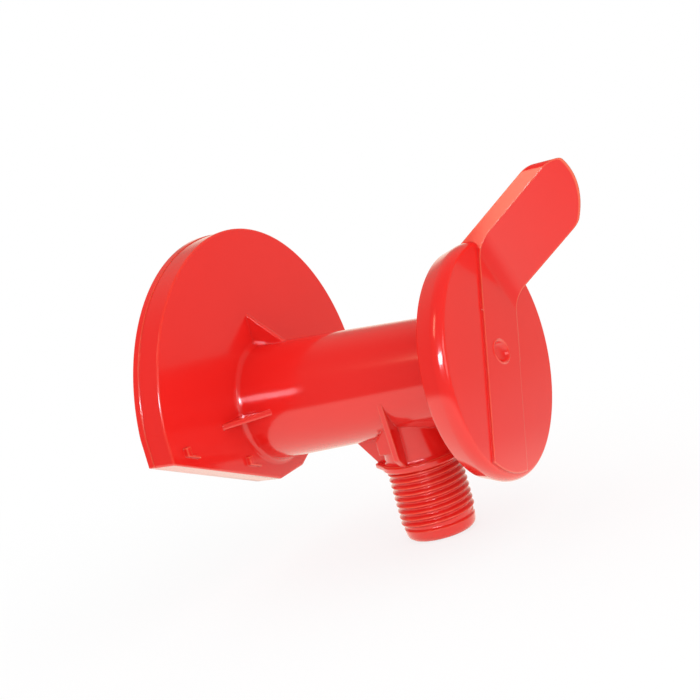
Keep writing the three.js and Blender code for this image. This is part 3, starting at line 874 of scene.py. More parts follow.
    def gusset(self, angle: float) -> Solid:
        """Build one triangular gusset between the flange and the barrel.

        Args:
            angle: Its turn about the barrel, in degrees.

        Returns:
            The gusset.
        """
        half = self.gusset_thickness / 2
        inner = self.at.nose_radius - half
        start = self.at.flange_depth - self.flange_plate / 2
        far = self.at.flange_depth + self.gusset_length
        tip = self.root_radius + self.gusset_height
        corners = [
            (start, inner),
            (far + OVERRUN, inner),
            (far + OVERRUN, self.barrel_radius(far) - self.gusset_sink),
            (self.at.flange_depth, tip),
            (start, tip),
        ]
        return Solid.raised(corners, Plane.XY, -half, half).rounded(self.gusset_edge).tilted(angle)

    def catch(self, share: float, mirror: int) -> Solid:
        """Build one L-shaped catch beside a sloping edge.

        Args:
            share: Its place along the edge, from the corner to the foot.
            mirror: 1 for the -Y side and -1 for the other.

        Returns:
            The catch.
        """
        y = self.flange_side + share * (self.foot_half - self.flange_side)
        fall = (self.foot_drop - self.corner_drop) / (self.flange_side - self.foot_half)
        foot = self.catch_inset - self.corner_drop - fall * (self.flange_side - y)
        width, upright, thick = self.catch_width, self.catch_upright, self.catch_thickness
        corners = [
            (0, foot),
            (width, foot - fall * width),
            (width, foot - fall * width + thick),
            (upright, foot - fall * upright + thick),
            (upright, foot + self.catch_height),
            (0, foot + self.catch_height),
        ]
        outline = [(-mirror * (y - across), up) for across, up in corners]
        start = self.at.flange_depth - self.flange_plate / 2
        end = self.at.flange_depth + self.catch_rise
        return Solid.raised(outline, Plane.YZ, start, end).rounded(self.catch_edge, 2)

    def spout(self) -> Solid:
        """Build the neck, the collar and the core that carries the thread.

        Returns:
            The spout.
        """
        root = self.thread_radius - self.thread_depth
        low, high, rim = self.collar_low, self.collar_high, self.collar_radius
        edge, fillet, band = self.collar_edge, self.neck_fillet, self.end_band_radius
        core_end = low - self.thread_run_in - self.core_turns * self.thread_pitch
        bend = self.end_chamfer_bend * self.end_chamfer
        end = -self.outlet_drop
        profile = [(0, 0), (0, self.neck_radius)]
        profile += arc((high + fillet, self.neck_radius + fillet), fillet, 270, 180, 6)
        profile += [(high, rim - edge), (high - edge, rim), (low + edge, rim), (low, rim - edge)]
        profile += [(low, root), (core_end, root), (core_end - self.thread_run_in, band)]
        profile += [(end + self.end_chamfer, band - self.end_band_taper), (end + bend, band - bend)]
        profile += [(end, band - self.end_chamfer), (end, 0)]
        return Solid.turned(profile, Spin.Z, ROUND_STEPS, (self.at.outlet_x, 0, 0))

    def thread(self) -> Solid:
        """Sweep the pipe thread's ridge down the spout as a right-handed helix.

        Returns:
            The ridge, which sinks into the core at both ends.
        """
        pitch, crest, steps = self.thread_pitch, self.thread_radius, self.thread_steps
        foot = (self.thread_foot[0], crest - self.thread_depth - self.thread_foot[1])
        shoulder = (self.thread_shoulder[0], crest - self.thread_shoulder[1])
        flank = [foot, shoulder, (self.thread_crest, crest)]
        shape = [(-k, r) for k, r in flank] + flank[::-1]
        start = self.collar_low - self.thread_run_in - self.thread_reach * pitch
        count = round(self.thread_turns * steps)
        fade = self.thread_fade * steps
        sections = []
        for i in range(count + 1):
            angle = 2 * math.pi * i / steps
            height = start + pitch * i / steps
            sink = (1 - min(1.0, i / fade, (count - i) / fade)) * self.thread_depth
            sections.append([
                Vector((
                    self.at.outlet_x + (r - sink) * math.cos(angle),
                    (r - sink) * math.sin(angle),
                    height + k * pitch,
                ))
                for k, r in shape
            ])
        return Solid.swept(sections)

    def side_web(self, mirror: int) -> Solid:
        """Build one of the two webs beside the neck, square to the barrel.

        Args:
            mirror: 1 for the +Y side and -1 for the other.

        Returns:
            The web.
        """
        inner = self.neck_radius - self.web_thickness
        x = self.at.outlet_x
        corners = [
            (mirror * inner, -self.side_web_top),
            (mirror * (self.barrel_radius(x) - self.web_edge), -self.side_web_top),
            (mirror * self.side_web_reach, -self.side_web_bottom),
            (mirror * self.collar_radius, self.collar_high),
            (mirror * inner, self.collar_low + self.collar_depth / 2),
        ]
        half = self.web_thickness / 2
        return Solid.raised(corners, Plane.YZ, x - half, x + half).rounded(self.web_edge, 2)

    def rear_web(self) -> Solid:
        """Build the thick web behind the neck, in line with the barrel.

        Returns:
            The web.
        """
        at, thick = self.at, self.web_thickness
        inner = at.outlet_x - self.neck_radius + thick
        far = at.outlet_x - self.rear_web_top
        foot = at.outlet_x - self.rear_web_foot
        corners = [
            (-at.bore_radius, inner),
            (-at.bore_radius, far),
            (SNUG_GAP - self.barrel_radius(far), far),
            (self.collar_high, foot),
            (self.rear_foot_low, foot),
            (self.rear_foot_low, inner),
        ]
        return Solid.raised(corners, Plane.ZX, -thick, thick).rounded(self.rear_web_edge)

    def neck_block(self) -> Solid:
        """Build the flat-faced block round the neck's flange side.

        Returns:
            The block.
        """
        x, near, half = self.at.outlet_x, self.at.outlet_x - self.block_reach, self.block_half
        top = -math.sqrt(self.at.nose_radius**2 - half**2)
        corners = [
            (-self.block_drop, near),
            (-self.block_drop, x),
            (top, x),
            (top, near + self.block_chamfer),
            (top - self.block_chamfer, near),
        ]
        return Solid.raised(corners, Plane.ZX, -half, half).rounded(self.block_edge)

    def rear_foot(self) -> Solid:
        """Build the collar's foot under the rear web.

        Returns:
            The foot, whose sides touch the collar's rim.
        """
        x, half, rim = self.at.outlet_x, self.rear_foot_half, self.collar_radius
        turn = math.atan2(half, self.rear_web_foot)
        turn += math.acos(rim / math.hypot(self.rear_web_foot, half))
        touch = (x - rim * math.cos(turn), rim * math.sin(turn))
        far = x - self.rear_web_foot
        corners = [(far, -half), (touch[0], -touch[1]), touch, (far, half)]
        foot = Solid.raised(corners, Plane.XY, self.rear_foot_low, self.collar_high)
        return foot.rounded(self.web_edge, 2)

    def stop(self) -> Solid:
        """Build the stop on the nose that limits the knob's turn.

        Returns:
            The stop.
        """
        at = self.at
        outline = sector(at.stop_inner, at.stop_outer, 90 - at.stop_half_angle, 90 + at.stop_half_angle, 8)
        stop = Solid.raised(outline, Plane.YZ, at.nose_end - OVERRUN, at.nose_end + at.stop_rise)
        return stop.rounded(self.stop_edge, 2)

    def passages(self) -> list[Solid]:
        """Build the cuts for the bore, the stem, the knob's hub and the outlet.

        Returns:
            The four cuts.
        """
        at, edge = self.at, self.soft_edge
        bore, way, wide = at.bore_radius, at.outlet_bore_radius, at.hub_radius + self.hub_gap
        end = at.nose_end + OVERRUN
        low = -self.outlet_drop
        flare = edge + OVERRUN
        profile = [(-OVERRUN, 0), (-OVERRUN, bore + flare), (edge, bore)]
        long_bore = Solid.turned([*profile, (at.bore_end, bore), (at.bore_end, 0)])
        stem = Solid.rod(at.rotor_start, end, at.stem_radius + self.stem_gap)
        profile = [(at.counterbore, 0), (at.counterbore, wide), (at.nose_end - edge, wide)]
        hub = Solid.turned([*profile, (end, wide + flare), (end, 0)])
        profile = [(0, 0), (0, way), (low + edge, way), (low - OVERRUN, way + flare), (low - OVERRUN, 0)]
        outlet = Solid.turned(profile, Spin.Z, ROUND_STEPS, (at.outlet_x, 0, 0))
        return [long_bore, stem, hub, outlet]

    def build(self, dressing: Dressing) -> None:
        """Build and dress the moulding.

        Args:
            dressing: The material of each slot.
        """
        whole = self.flange().add(self.barrel(), self.spout(), self.thread(), self.neck_block())
        whole.add(self.rear_web(), self.rear_foot(), self.stop())
        whole.add(*[self.gusset(angle) for angle in self.gusset_angles])
        for mirror in (1, -1):
            whole.add(self.side_web(mirror), *[self.catch(share, mirror) for share in self.catch_shares])
        whole.cut(*self.passages())
        whole.finish("valve_moulding", Body.FIXED, "valve_body", Slot.RED, dressing)


@dataclass
class HullPad:
    """The rubber pad in the flange's hollow back."""

    body: ValveBody
    edge: float = 0.5

    def build(self, dressing: Dressing) -> None:
        """Build and dress the pad.

        Args:
            dressing: The material of each slot.
        """
        inner = self.body.at.bore_radius + self.body.spigot_wall + SEAT_GAP
        thick = self.body.at.flange_depth - self.body.flange_plate - SEAT_GAP
        outline = self.body.flange_outline(self.body.flange_wall + SEAT_GAP)
        pad = Solid.raised(outline, Plane.YZ, 0, thick).rounded(self.edge, 3, OUTLINE_LIMIT)
        pad.cut(Solid.rod(-OVERRUN, thick + OVERRUN, inner))
        pad.finish("hull_pad", Body.FIXED, "hull_gasket", Slot.RUBBER, dressing)


@dataclass
class Knob:
    """The knob: a round disc, a raised bar across it and a paddle bent out of the bar."""

    at: Layout
    radius: float = 32.3
    back_radius: float = 30.9
    edge_length: float = 2.6
    edge_depth: float = 1.5
    edge_lean: float = 28.0
    back_chamfer: float = 0.7
    skirt: float = 2.6
    plate: float = 3.0
    rib_radius: float = 23.1
    rib_thickness: float = 1.8
    hub_wall: float = 2.0
    hub_edge: float = 0.3
    pocket_gap: float = 0.7
    pocket_floor_gap: float = 0.4
    bar_reach: float = 30.4
    bar_half_top: float = 10.0
    bar_half_foot: float = 9.5
    bar_edge: float = 1.3
    # The bar's soft edges are this many times as wide as they are deep.
    bar_edge_slope: float = 2.0
    dimple_radius: float = 2.75
    dimple_stretch: float = 1.5
    dimple_depth: float = 1.25
    dimple_along: float = 1.8
    dimple_across: float = -1.3
    dimple_lip: float = 0.25
    dimple_lip_width: float = 0.7
    paddle_thickness: float = 3.9
    paddle_bend_reach: float = 21.7
    paddle_slope: float = 53.8
    paddle_twist: float = 27.6
    paddle_bend_radius: float = 7.6
    paddle_reach: float = 39.9
    paddle_edge: float = 0.8
    paddle_root: float = 6.0
    crown_radius: float = 38.0
    crown_shift: float = -2.3
    tall_corner: float = 2.2
    short_corner: float = 4.0
    drive_gap: float = 0.25
    stop_slack: float = 1.5

    def disc(self) -> Solid:
        """Build the disc, drafted outwards, with a rounded front edge.

        Returns:
            The disc.
        """
        at = self.at
        front = [
            (at.knob_face + self.edge_length * (x - 1), self.radius + self.edge_depth * (y - 1))
            for x, y in arc((0, 0), 1, 90 + self.edge_lean, 0, 14)
        ]
        profile = [(at.knob_back, 0), (at.knob_back, self.back_radius - self.back_chamfer)]
        profile += [(at.knob_back + self.back_chamfer, self.back_radius), *front, (at.knob_face, 0)]
        return Solid.turned(profile, steps=WIDE_STEPS)

    def bar(self) -> Solid:
        """Build the raised bar with its rounded end and soft top edges.

        Returns:
            The bar. It is stretched while it is rounded, so that its edges slope.
        """
        at, foot, top, long = self.at, self.bar_half_foot, self.bar_half_top, self.radius
        outline = [(-foot, -long), (foot, -long), (top, long), (-top, long)]
        bar = Solid.raised(outline, Plane.YZ, at.knob_face - self.plate / 2, at.bar_face)
        bar.keep(Solid.rod(at.knob_back, at.bar_face + OVERRUN, self.bar_reach, WIDE_STEPS))
        bar.stretched(self.bar_edge_slope, 1, 1).rounded(self.bar_edge, 4, OUTLINE_LIMIT)
        return bar.stretched(1 / self.bar_edge_slope, 1, 1)

    def paddle_profile(self) -> list[Pair]:
        """Draw the paddle's bent section.

        Returns:
            The corners, along the fold's normal and along X.
        """
        face = self.at.bar_face
        slope = math.radians(self.paddle_slope)
        bend, radius = self.paddle_bend_reach, self.paddle_bend_radius
        run = Vector((math.cos(slope), math.sin(slope)))
        back = self.paddle_thickness * Vector((run.y, -run.x))
        fold = Vector((bend, face))
        top = fold + (self.paddle_reach - bend + self.paddle_thickness) / run.x * run
        root = fold - self.paddle_root / run.y * run
        inner = bend - self.radius / 2
        centre = (face + radius, bend - radius * math.tan(slope / 2))
        curve = arc(centre, radius, 180, 180 - self.paddle_slope, 12)
        corners = [(inner, face - self.paddle_root), (inner, face)]
        corners += [(along, out) for out, along in curve]
        return corners + [tuple(top), tuple(top + back), tuple(root + back)]

    def paddle_outline(self) -> list[Pair]:
        """Draw the paddle seen along X: straight sides and a crowned, slanted tip.

        Returns:
            The corners, in Y and Z.
        """
        half, twist, crown = self.bar_half_top, math.radians(self.paddle_twist), self.crown_radius
        apex = (self.paddle_reach - self.crown_shift * math.sin(twist)) / math.cos(twist)
        centre = (self.crown_shift - crown * math.sin(twist), apex - crown * math.cos(twist))
        short_y, tall_y = half - self.short_corner, self.tall_corner - half
        short_reach, tall_reach = crown - self.short_corner, crown - self.tall_corner
        short = math.degrees(math.acos((short_y - centre[0]) / short_reach))
        tall = math.degrees(math.acos((tall_y - centre[0]) / tall_reach))
        short_z = centre[1] + short_reach * math.sin(math.radians(short))
        tall_z = centre[1] + tall_reach * math.sin(math.radians(tall))
        outline = [(-half, 0), (half, 0)]
        outline += arc((short_y, short_z), self.short_corner, 0, short, 10)
        outline += arc(centre, crown, short, tall, 20)[1:-1]
        outline += arc((tall_y, tall_z), self.tall_corner, tall, 180, 8)
        return outline

    def paddle(self) -> Solid:
        """Build the paddle: a bent, twisted strip trimmed to the bar's width.

        Returns:
            The paddle.
        """
        twist = math.radians(self.paddle_twist)
        across = Vector((0, math.sin(twist), math.cos(twist)))
        fold = across.cross(Vector((1, 0, 0)))
        length = 2 * self.radius
        section = [across * along + Vector((x, 0, 0)) for along, x in self.paddle_profile()]
        strip = Solid.swept([[point + fold * shift for point in section] for shift in (-length, length)])
        start = self.at.knob_back
        strip.keep(Solid.raised(self.paddle_outline(), Plane.YZ, start, start + length))
        return strip.rounded(self.paddle_edge, 4)

    def placed(self, profile: Sequence[Pair]) -> Solid:
        """Turn a profile at the dimple's place, stretched across the bar."""
        turned = Solid.turned(profile, steps=SMALL_STEPS).stretched(1, self.dimple_stretch, 1)
        return turned.moved(0, self.dimple_across, self.dimple_along)

    def dimple_rim(self) -> Solid:
        """Build the low, soft lip round the dimple.

        Returns:
            The lip.
        """
        face, lip, width = self.at.bar_face, self.dimple_lip, self.dimple_lip_width
        outer = self.dimple_radius + width
        wave = [(face + lip * math.sin(math.pi * i / 8) ** 2, outer - width * i / 8) for i in range(9)]
        return self.placed([(face - OVERRUN, 0), (face - OVERRUN, outer), *wave, (face, 0)])

    def dimple(self) -> Solid:
        """Build the cut for the shallow dimple near the bar's middle.

        Returns:
            The cut, flat in the middle and steep at its rim.
        """
        face, deep, wide = self.at.bar_face, self.dimple_depth, self.dimple_radius
        bowl = [(face - deep * math.cos(math.pi / 2 * (i / 10) ** 3), wide * i / 10) for i in range(11)]
        return self.placed([*bowl, (face + OVERRUN, wide + self.dimple_lip), (face + OVERRUN, 0)])

    def pockets(self) -> list[Solid]:
        """Build the cuts that core out the knob from behind.

        Returns:
            The outer and inner rings and the middle.
        """
        at = self.at
        floor, start = at.knob_face - self.plate, at.knob_back - OVERRUN
        nose = at.nose_radius + self.pocket_gap
        half = self.rib_thickness / 2
        outer = Solid.tube(start, floor, self.rib_radius + half, self.back_radius - self.skirt)
        inner = Solid.tube(start, floor, nose + self.hub_wall, self.rib_radius - half)
        return [outer, inner, Solid.rod(start, at.nose_end + self.pocket_floor_gap, nose)]

    def hub(self) -> Solid:
        """Build the hub that reaches into the body's nose.

        Returns:
            The hub.
        """
        start, end = self.at.hub_start, self.at.knob_face - OVERRUN
        radius, edge = self.at.hub_radius, self.hub_edge
        profile = [(start, 0), (start, radius - edge), (start + edge, radius), (end, radius), (end, 0)]
        return Solid.turned(profile)

    def stop_groove(self) -> Solid:
        """Build the cut for the groove that runs past the body's stop.

        Returns:
            The cut.
        """
        at = self.at
        slack = at.stop_half_angle + self.stop_slack
        inner, outer = at.stop_inner - SEAT_GAP, at.stop_outer + SEAT_GAP
        outline = sector(inner, outer, 90 - slack, 90 + TRAVEL + slack, 32)
        low = at.nose_end - OVERRUN + SEAT_GAP
        return Solid.raised(outline, Plane.YZ, low, low + at.stop_rise + SEAT_GAP + OVERRUN)

    def holes(self) -> list[Solid]:
        """Build the cuts for the square socket and the insert's seat.

        Returns:
            The two cuts.
        """
        at = self.at
        half = at.drive_size / 2 + self.drive_gap
        start = at.hub_start - OVERRUN
        socket = Solid.raised(rectangle(half, half), Plane.YZ, start, at.socket_end)
        seat = Solid.rod(start, at.insert_end + SNUG_GAP, at.insert_radius + SNUG_GAP, SMALL_STEPS)
        return [socket, seat]

    def build(self, dressing: Dressing) -> None:
        """Build and dress the knob at the pose of the photograph.

        Args:
            dressing: The material of each slot.
        """
        whole = self.disc().add(self.bar(), self.paddle(), self.dimple_rim())
        whole.cut(*self.pockets()).add(self.hub())
        whole.cut(self.stop_groove(), *self.holes(), self.dimple()).tilted(-OPEN_ANGLE)
        whole.finish("knob_and_paddle", Body.HANDLE, "knob", Slot.RED, dressing)


@dataclass
class Rotor:
    """The hollow rotor with its grooves, side port, pad pocket and square drive."""

    at: Layout
    bore: float = 7.2
    port_radius: float = 6.6
    pocket_depth: float = 1.7
    pad_rise: float = 0.15
    pad_edge: float = 0.25
    floor_gap: float = 0.15
    squeeze: float = 0.06
    clip_groove: float = 1.1
    screw_hole: float = 2.2
    edge: float = 0.3

    def turning(self) -> Solid:
        """Turn the rotor's outside with its grooves and its long bore.

        Returns:
            The turned rotor.
        """
        at, edge, bore = self.at, self.edge, self.bore
        wide, stem = at.rotor_radius, at.stem_radius
        floor = wide + self.squeeze - at.ring_section - self.floor_gap
        stem_floor = stem + self.squeeze - at.stem_ring_section - self.floor_gap
        near = at.rotor_start
        profile = [(at.rotor_bore_end, 0), (at.rotor_bore_end, bore), (near + edge, bore)]
        profile += [(near, bore + edge), (near, wide - edge), (near + edge, wide)]
        for start in (at.inner_groove, at.outer_groove):
            end = start + at.groove_width
            profile += [(start, wide), (start, floor), (end, floor), (end, wide)]
        profile += [(at.rotor_end - edge, wide), (at.rotor_end, wide - edge), (at.rotor_end, stem)]
        grooves = [
            (at.stem_groove, at.stem_groove + at.stem_groove_width, stem_floor),
            (at.clip_start - SNUG_GAP, at.clip_end + SNUG_GAP, stem - self.clip_groove),
        ]
        for start, end, low in grooves:
            profile += [(start, stem), (start, low), (end, low), (end, stem)]
        profile += [(at.drive_start - edge / 2, stem), (at.drive_start, stem - edge / 2), (at.drive_start, 0)]
        return Solid.turned(profile)

    def radial(self, radius: float, near: float, far: float, angle: float) -> Solid:
        """Build a round plug square to the barrel at the outlet, turned about X.

        Args:
            radius: Radius of the plug.
            near: Where it starts from the axis.
            far: Where it ends.
            angle: Its turn in degrees from +Y.

        Returns:
            The plug.
        """
        profile = [(near, 0), (near, radius), (far, radius), (far, 0)]
        plug = Solid.turned(profile, Spin.Y, ROUND_STEPS, (self.at.outlet_x, 0, 0))
        return plug.tilted(angle)

    def build(self, dressing: Dressing) -> None:
        """Build and dress the rotor and its shut-off pad.

        Args:
            dressing: The material of each slot.
        """
        at = self.at
        port = self.radial(self.port_radius, 0, at.bore_radius, -90)
        pocket_floor = at.rotor_radius - self.pocket_depth
        pocket = self.radial(at.pad_radius + SNUG_GAP, 0, at.bore_radius, 0)
        pocket.cut(Solid.rod(at.rotor_start, at.rotor_end, pocket_floor))
        hole = Solid.rod(at.rotor_bore_end - OVERRUN, at.drive_end + OVERRUN, self.screw_hole, SMALL_STEPS)
        square = rectangle(at.drive_size / 2, at.drive_size / 2)
        drive = Solid.raised(square, Plane.YZ, at.drive_start - at.stem_shoulder / 2, at.drive_end)
        whole = self.turning().add(drive.rounded(self.edge, 2)).cut(port, pocket, hole)
        whole.tilted(-OPEN_ANGLE).finish("hollow_rotor", Body.HANDLE, "rotor", Slot.WHITE, dressing)
        pad = self.radial(at.pad_radius, self.bore, at.bore_radius + OVERRUN, 0)
        inner, outer = pocket_floor + SNUG_GAP, at.rotor_radius + self.pad_rise
        pad.keep(Solid.tube(at.rotor_start, at.rotor_end, inner, outer))
        pad.rounded(self.pad_edge, 2, OUTLINE_LIMIT).tilted(-OPEN_ANGLE)
        pad.finish("outlet_pad", Body.HANDLE, "shutoff_pad", Slot.RUBBER, dressing)


@dataclass
class Seals:
    """The three O-rings."""

    rotor: Rotor
    sharp: float = 60.0

    def ring(
        self, node: str, groove: float, width: float, section: float, radius: float, dressing: Dressing
    ) -> None:
        """Build and dress one O-ring.

        Args:
            node: The model's node that it stands for.
            groove: Where its groove starts.
            width: Width of the groove.
            section: Thickness of the ring.
            radius: Radius that it seals at.
            dressing: The material of each slot.
        """
        centre = (groove + width / 2, radius + self.rotor.squeeze - section / 2)
        ring = Solid.turned(arc(centre, section / 2, 0, 360, 24)[:-1])
        ring.finish(node + "_seal", Body.HANDLE, node, Slot.RUBBER, dressing, self.sharp)

    def build(self, dressing: Dressing) -> None:
        """Build and dress the rings.

        Args:
            dressing: The material of each slot.
        """
        at = self.rotor.at
        large = (at.groove_width, at.ring_section, at.rotor_radius)
        small = (at.stem_groove_width, at.stem_ring_section, at.stem_radius)
        self.ring("inlet_o_ring", at.inner_groove, *large, dressing)
        self.ring("outlet_o_ring", at.outer_groove, *large, dressing)
        self.ring("stem_o_ring", at.stem_groove, *small, dressing)


@dataclass
class Hardware:
    """The washers, the retaining clip, the insert, the screw and the seal under its head."""

    rotor: Rotor
    thrust_margin: float = 0.6
    thrust_edge: float = 0.15
    flat_margin: float = 0.5
    flat_edge: float = 0.12
    clip_width: float = 2.5
    clip_mouth: float = 70.0
    clip_edge: float = 0.15
    shank: float = 1.9
    thread_pitch: float = 0.7
    thread_depth: float = 0.3
    head_radius: float = 3.6
    head_height: float = 2.3
    head_edge: float = 0.2
    # The head's dome: depths under its top, each with its share of the head's radius.
    head_dome: tuple[Pair, ...] = ((0.0, 0.45), (0.35, 0.8), (1.0, 0.97))
    slot_length: float = 4.2
    slot_width: float = 0.9
    slot_depth: float = 1.2
    seal_radius: float = 4.7
    seal_thickness: float = 1.0
    seal_edge: float = 0.2
    insert_tip: float = 0.6
    knurl_teeth: int = 36
    knurl_depth: float = 0.15

    def washer(self, start: float, thickness: float, inner: float, outer: float, edge: float) -> Solid:
        """Build a flat washer with soft rims.

        Args:
            start: Its near face.
            thickness: Its thickness.
            inner: Radius of the hole.
            outer: Radius of the rim.
            edge: Chamfer of the rims.

        Returns:
            The washer.
        """
        end = start + thickness
        profile = [(start + edge, inner), (start, inner + edge), (start, outer - edge)]
        profile += [(start + edge, outer), (end - edge, outer), (end, outer - edge)]
        profile += [(end, inner + edge), (end - edge, inner)]
        return Solid.turned(profile)

    def clip(self) -> Solid:
        """Build the open retaining clip.

        Returns:
            The clip.
        """
        at = self.rotor.at
        inner = at.stem_radius - self.rotor.clip_groove + SNUG_GAP
        half = self.clip_mouth / 2
        outline = sector(inner, inner + self.clip_width, half, 360 - half, 64)
        clip = Solid.raised(outline, Plane.YZ, at.clip_start, at.clip_end)
        return clip.rounded(self.clip_edge, 2, OUTLINE_LIMIT)

    def insert(self) -> Solid:
        """Build the knurled insert that takes the screw.

        Returns:
            The insert.
        """
        at = self.rotor.at
        outline = []
        for i in range(2 * self.knurl_teeth):
            angle = math.pi * i / self.knurl_teeth
            radius = at.insert_radius - self.knurl_depth * (i % 2)
            outline.append((radius * math.cos(angle), radius * math.sin(angle)))
        body = Solid.raised(outline, Plane.YZ, at.insert_start, at.insert_end)
        start, end = at.insert_start - OVERRUN, at.insert_end + OVERRUN
        return body.cut(Solid.rod(start, end, self.shank + SNUG_GAP, SMALL_STEPS))

    def screw(self) -> Solid:
        """Build the pan-head screw with its cross recess and its thread rings.

        Returns:
            The screw.
        """
        at, shank, wide, edge = self.rotor.at, self.shank, self.head_radius, self.head_edge
        core = shank - self.thread_depth
        head_end = at.rotor_bore_end - 2 * SNUG_GAP - self.seal_thickness
        head_start = head_end - self.head_height
        tip = at.insert_end - self.insert_tip
        profile = [(head_start, 0)]
        profile += [(head_start + depth, wide * share) for depth, share in self.head_dome]
        profile += [(head_end - edge, wide), (head_end, wide - edge), (head_end, shank)]
        x = at.rotor_end
        while x < tip - shank:
            profile += [(x, core), (x + self.thread_pitch / 2, shank)]
            x += self.thread_pitch
        profile += [(tip - shank / 2, core), (tip, shank / 2), (tip, 0)]
        screw = Solid.turned(profile, steps=SMALL_STEPS)
        half, width = self.slot_length / 2, self.slot_width / 2
        for outline in (rectangle(half, width), rectangle(width, half)):
            screw.cut(Solid.raised(outline, Plane.YZ, head_start - OVERRUN, head_start + self.slot_depth))
        return screw

    def build(self, dressing: Dressing) -> None:
        """Build and dress every piece of hardware.

        Args:
            dressing: The material of each slot.
        """
        at = self.rotor.at
        stem = at.stem_radius + SEAT_GAP
        outer = at.bore_radius - self.thrust_margin
        thrust = self.washer(at.rotor_end + SEAT_GAP, at.thrust_washer, stem, outer, self.thrust_edge)
        thrust.finish("slip_washer", Body.FIXED, "thrust_washer", Slot.WHITE, dressing)
        outer = at.hub_radius - self.flat_margin
        flat = self.washer(at.washer_start, at.stem_washer, stem, outer, self.flat_edge)
        flat.finish("flat_washer", Body.FIXED, "stem_washer", Slot.STEEL, dressing)
        clip = self.clip().tilted(-OPEN_ANGLE)
        clip.finish("retaining_clip", Body.HANDLE, "stem_clip", Slot.STEEL, dressing)
        self.insert().finish("knurled_insert", Body.HANDLE, "knob_insert", Slot.BRASS, dressing)
        screw = self.screw().tilted(-OPEN_ANGLE)
        screw.finish("pan_head_screw", Body.HANDLE, "knob_screw", Slot.STEEL, dressing)
        start = at.rotor_bore_end - SNUG_GAP - self.seal_thickness
        inner = self.shank + SEAT_GAP
        seal = self.washer(start, self.seal_thickness, inner, self.seal_radius, self.seal_edge)
        seal.finish("head_seal", Body.HANDLE, "screw_seal", Slot.RUBBER, dressing)


@dataclass(frozen=True)
class SoftBox:
    """One soft box, in metres and watts. It may light the plastic, or only gleam on it."""

    name: str
    place: Triple
    size: Pair
    power: float
    colour: str
    lights: bool

    def hang(self, target: Triple) -> None:
        """Hang the box so that it faces a point.

        Args:
            target: The point.
        """
        lamp = bpy.data.lights.new(self.name, "AREA")
        lamp.shape = "RECTANGLE"
        lamp.size, lamp.size_y = self.size
        lamp.energy = self.power
        lamp.color = linear(self.colour)[:3]
        box = bpy.data.objects.new(self.name, lamp)
        box.visible_diffuse = self.lights
        bpy.context.scene.collection.objects.link(box)
        aim = (Vector(target) - Vector(self.place)).to_track_quat("-Z", "Y").to_matrix().to_4x4()
        box.matrix_world = Matrix.Translation(Vector(self.place)) @ aim


SOFT_BOXES = (
    SoftBox("front_strip", (0.165, -0.45, 0.17), (0.25, 0.075), 2.0, "#f2e2ee", lights=False),
    SoftBox("high_box", (-0.125, -0.39, 0.475), (0.1, 0.2), 0.3, "#ffe0b8", lights=False),
    SoftBox("side_box", (0.85, -0.35, 0.2), (0.4, 0.4), 1.0, "#ffffff", lights=True),
)


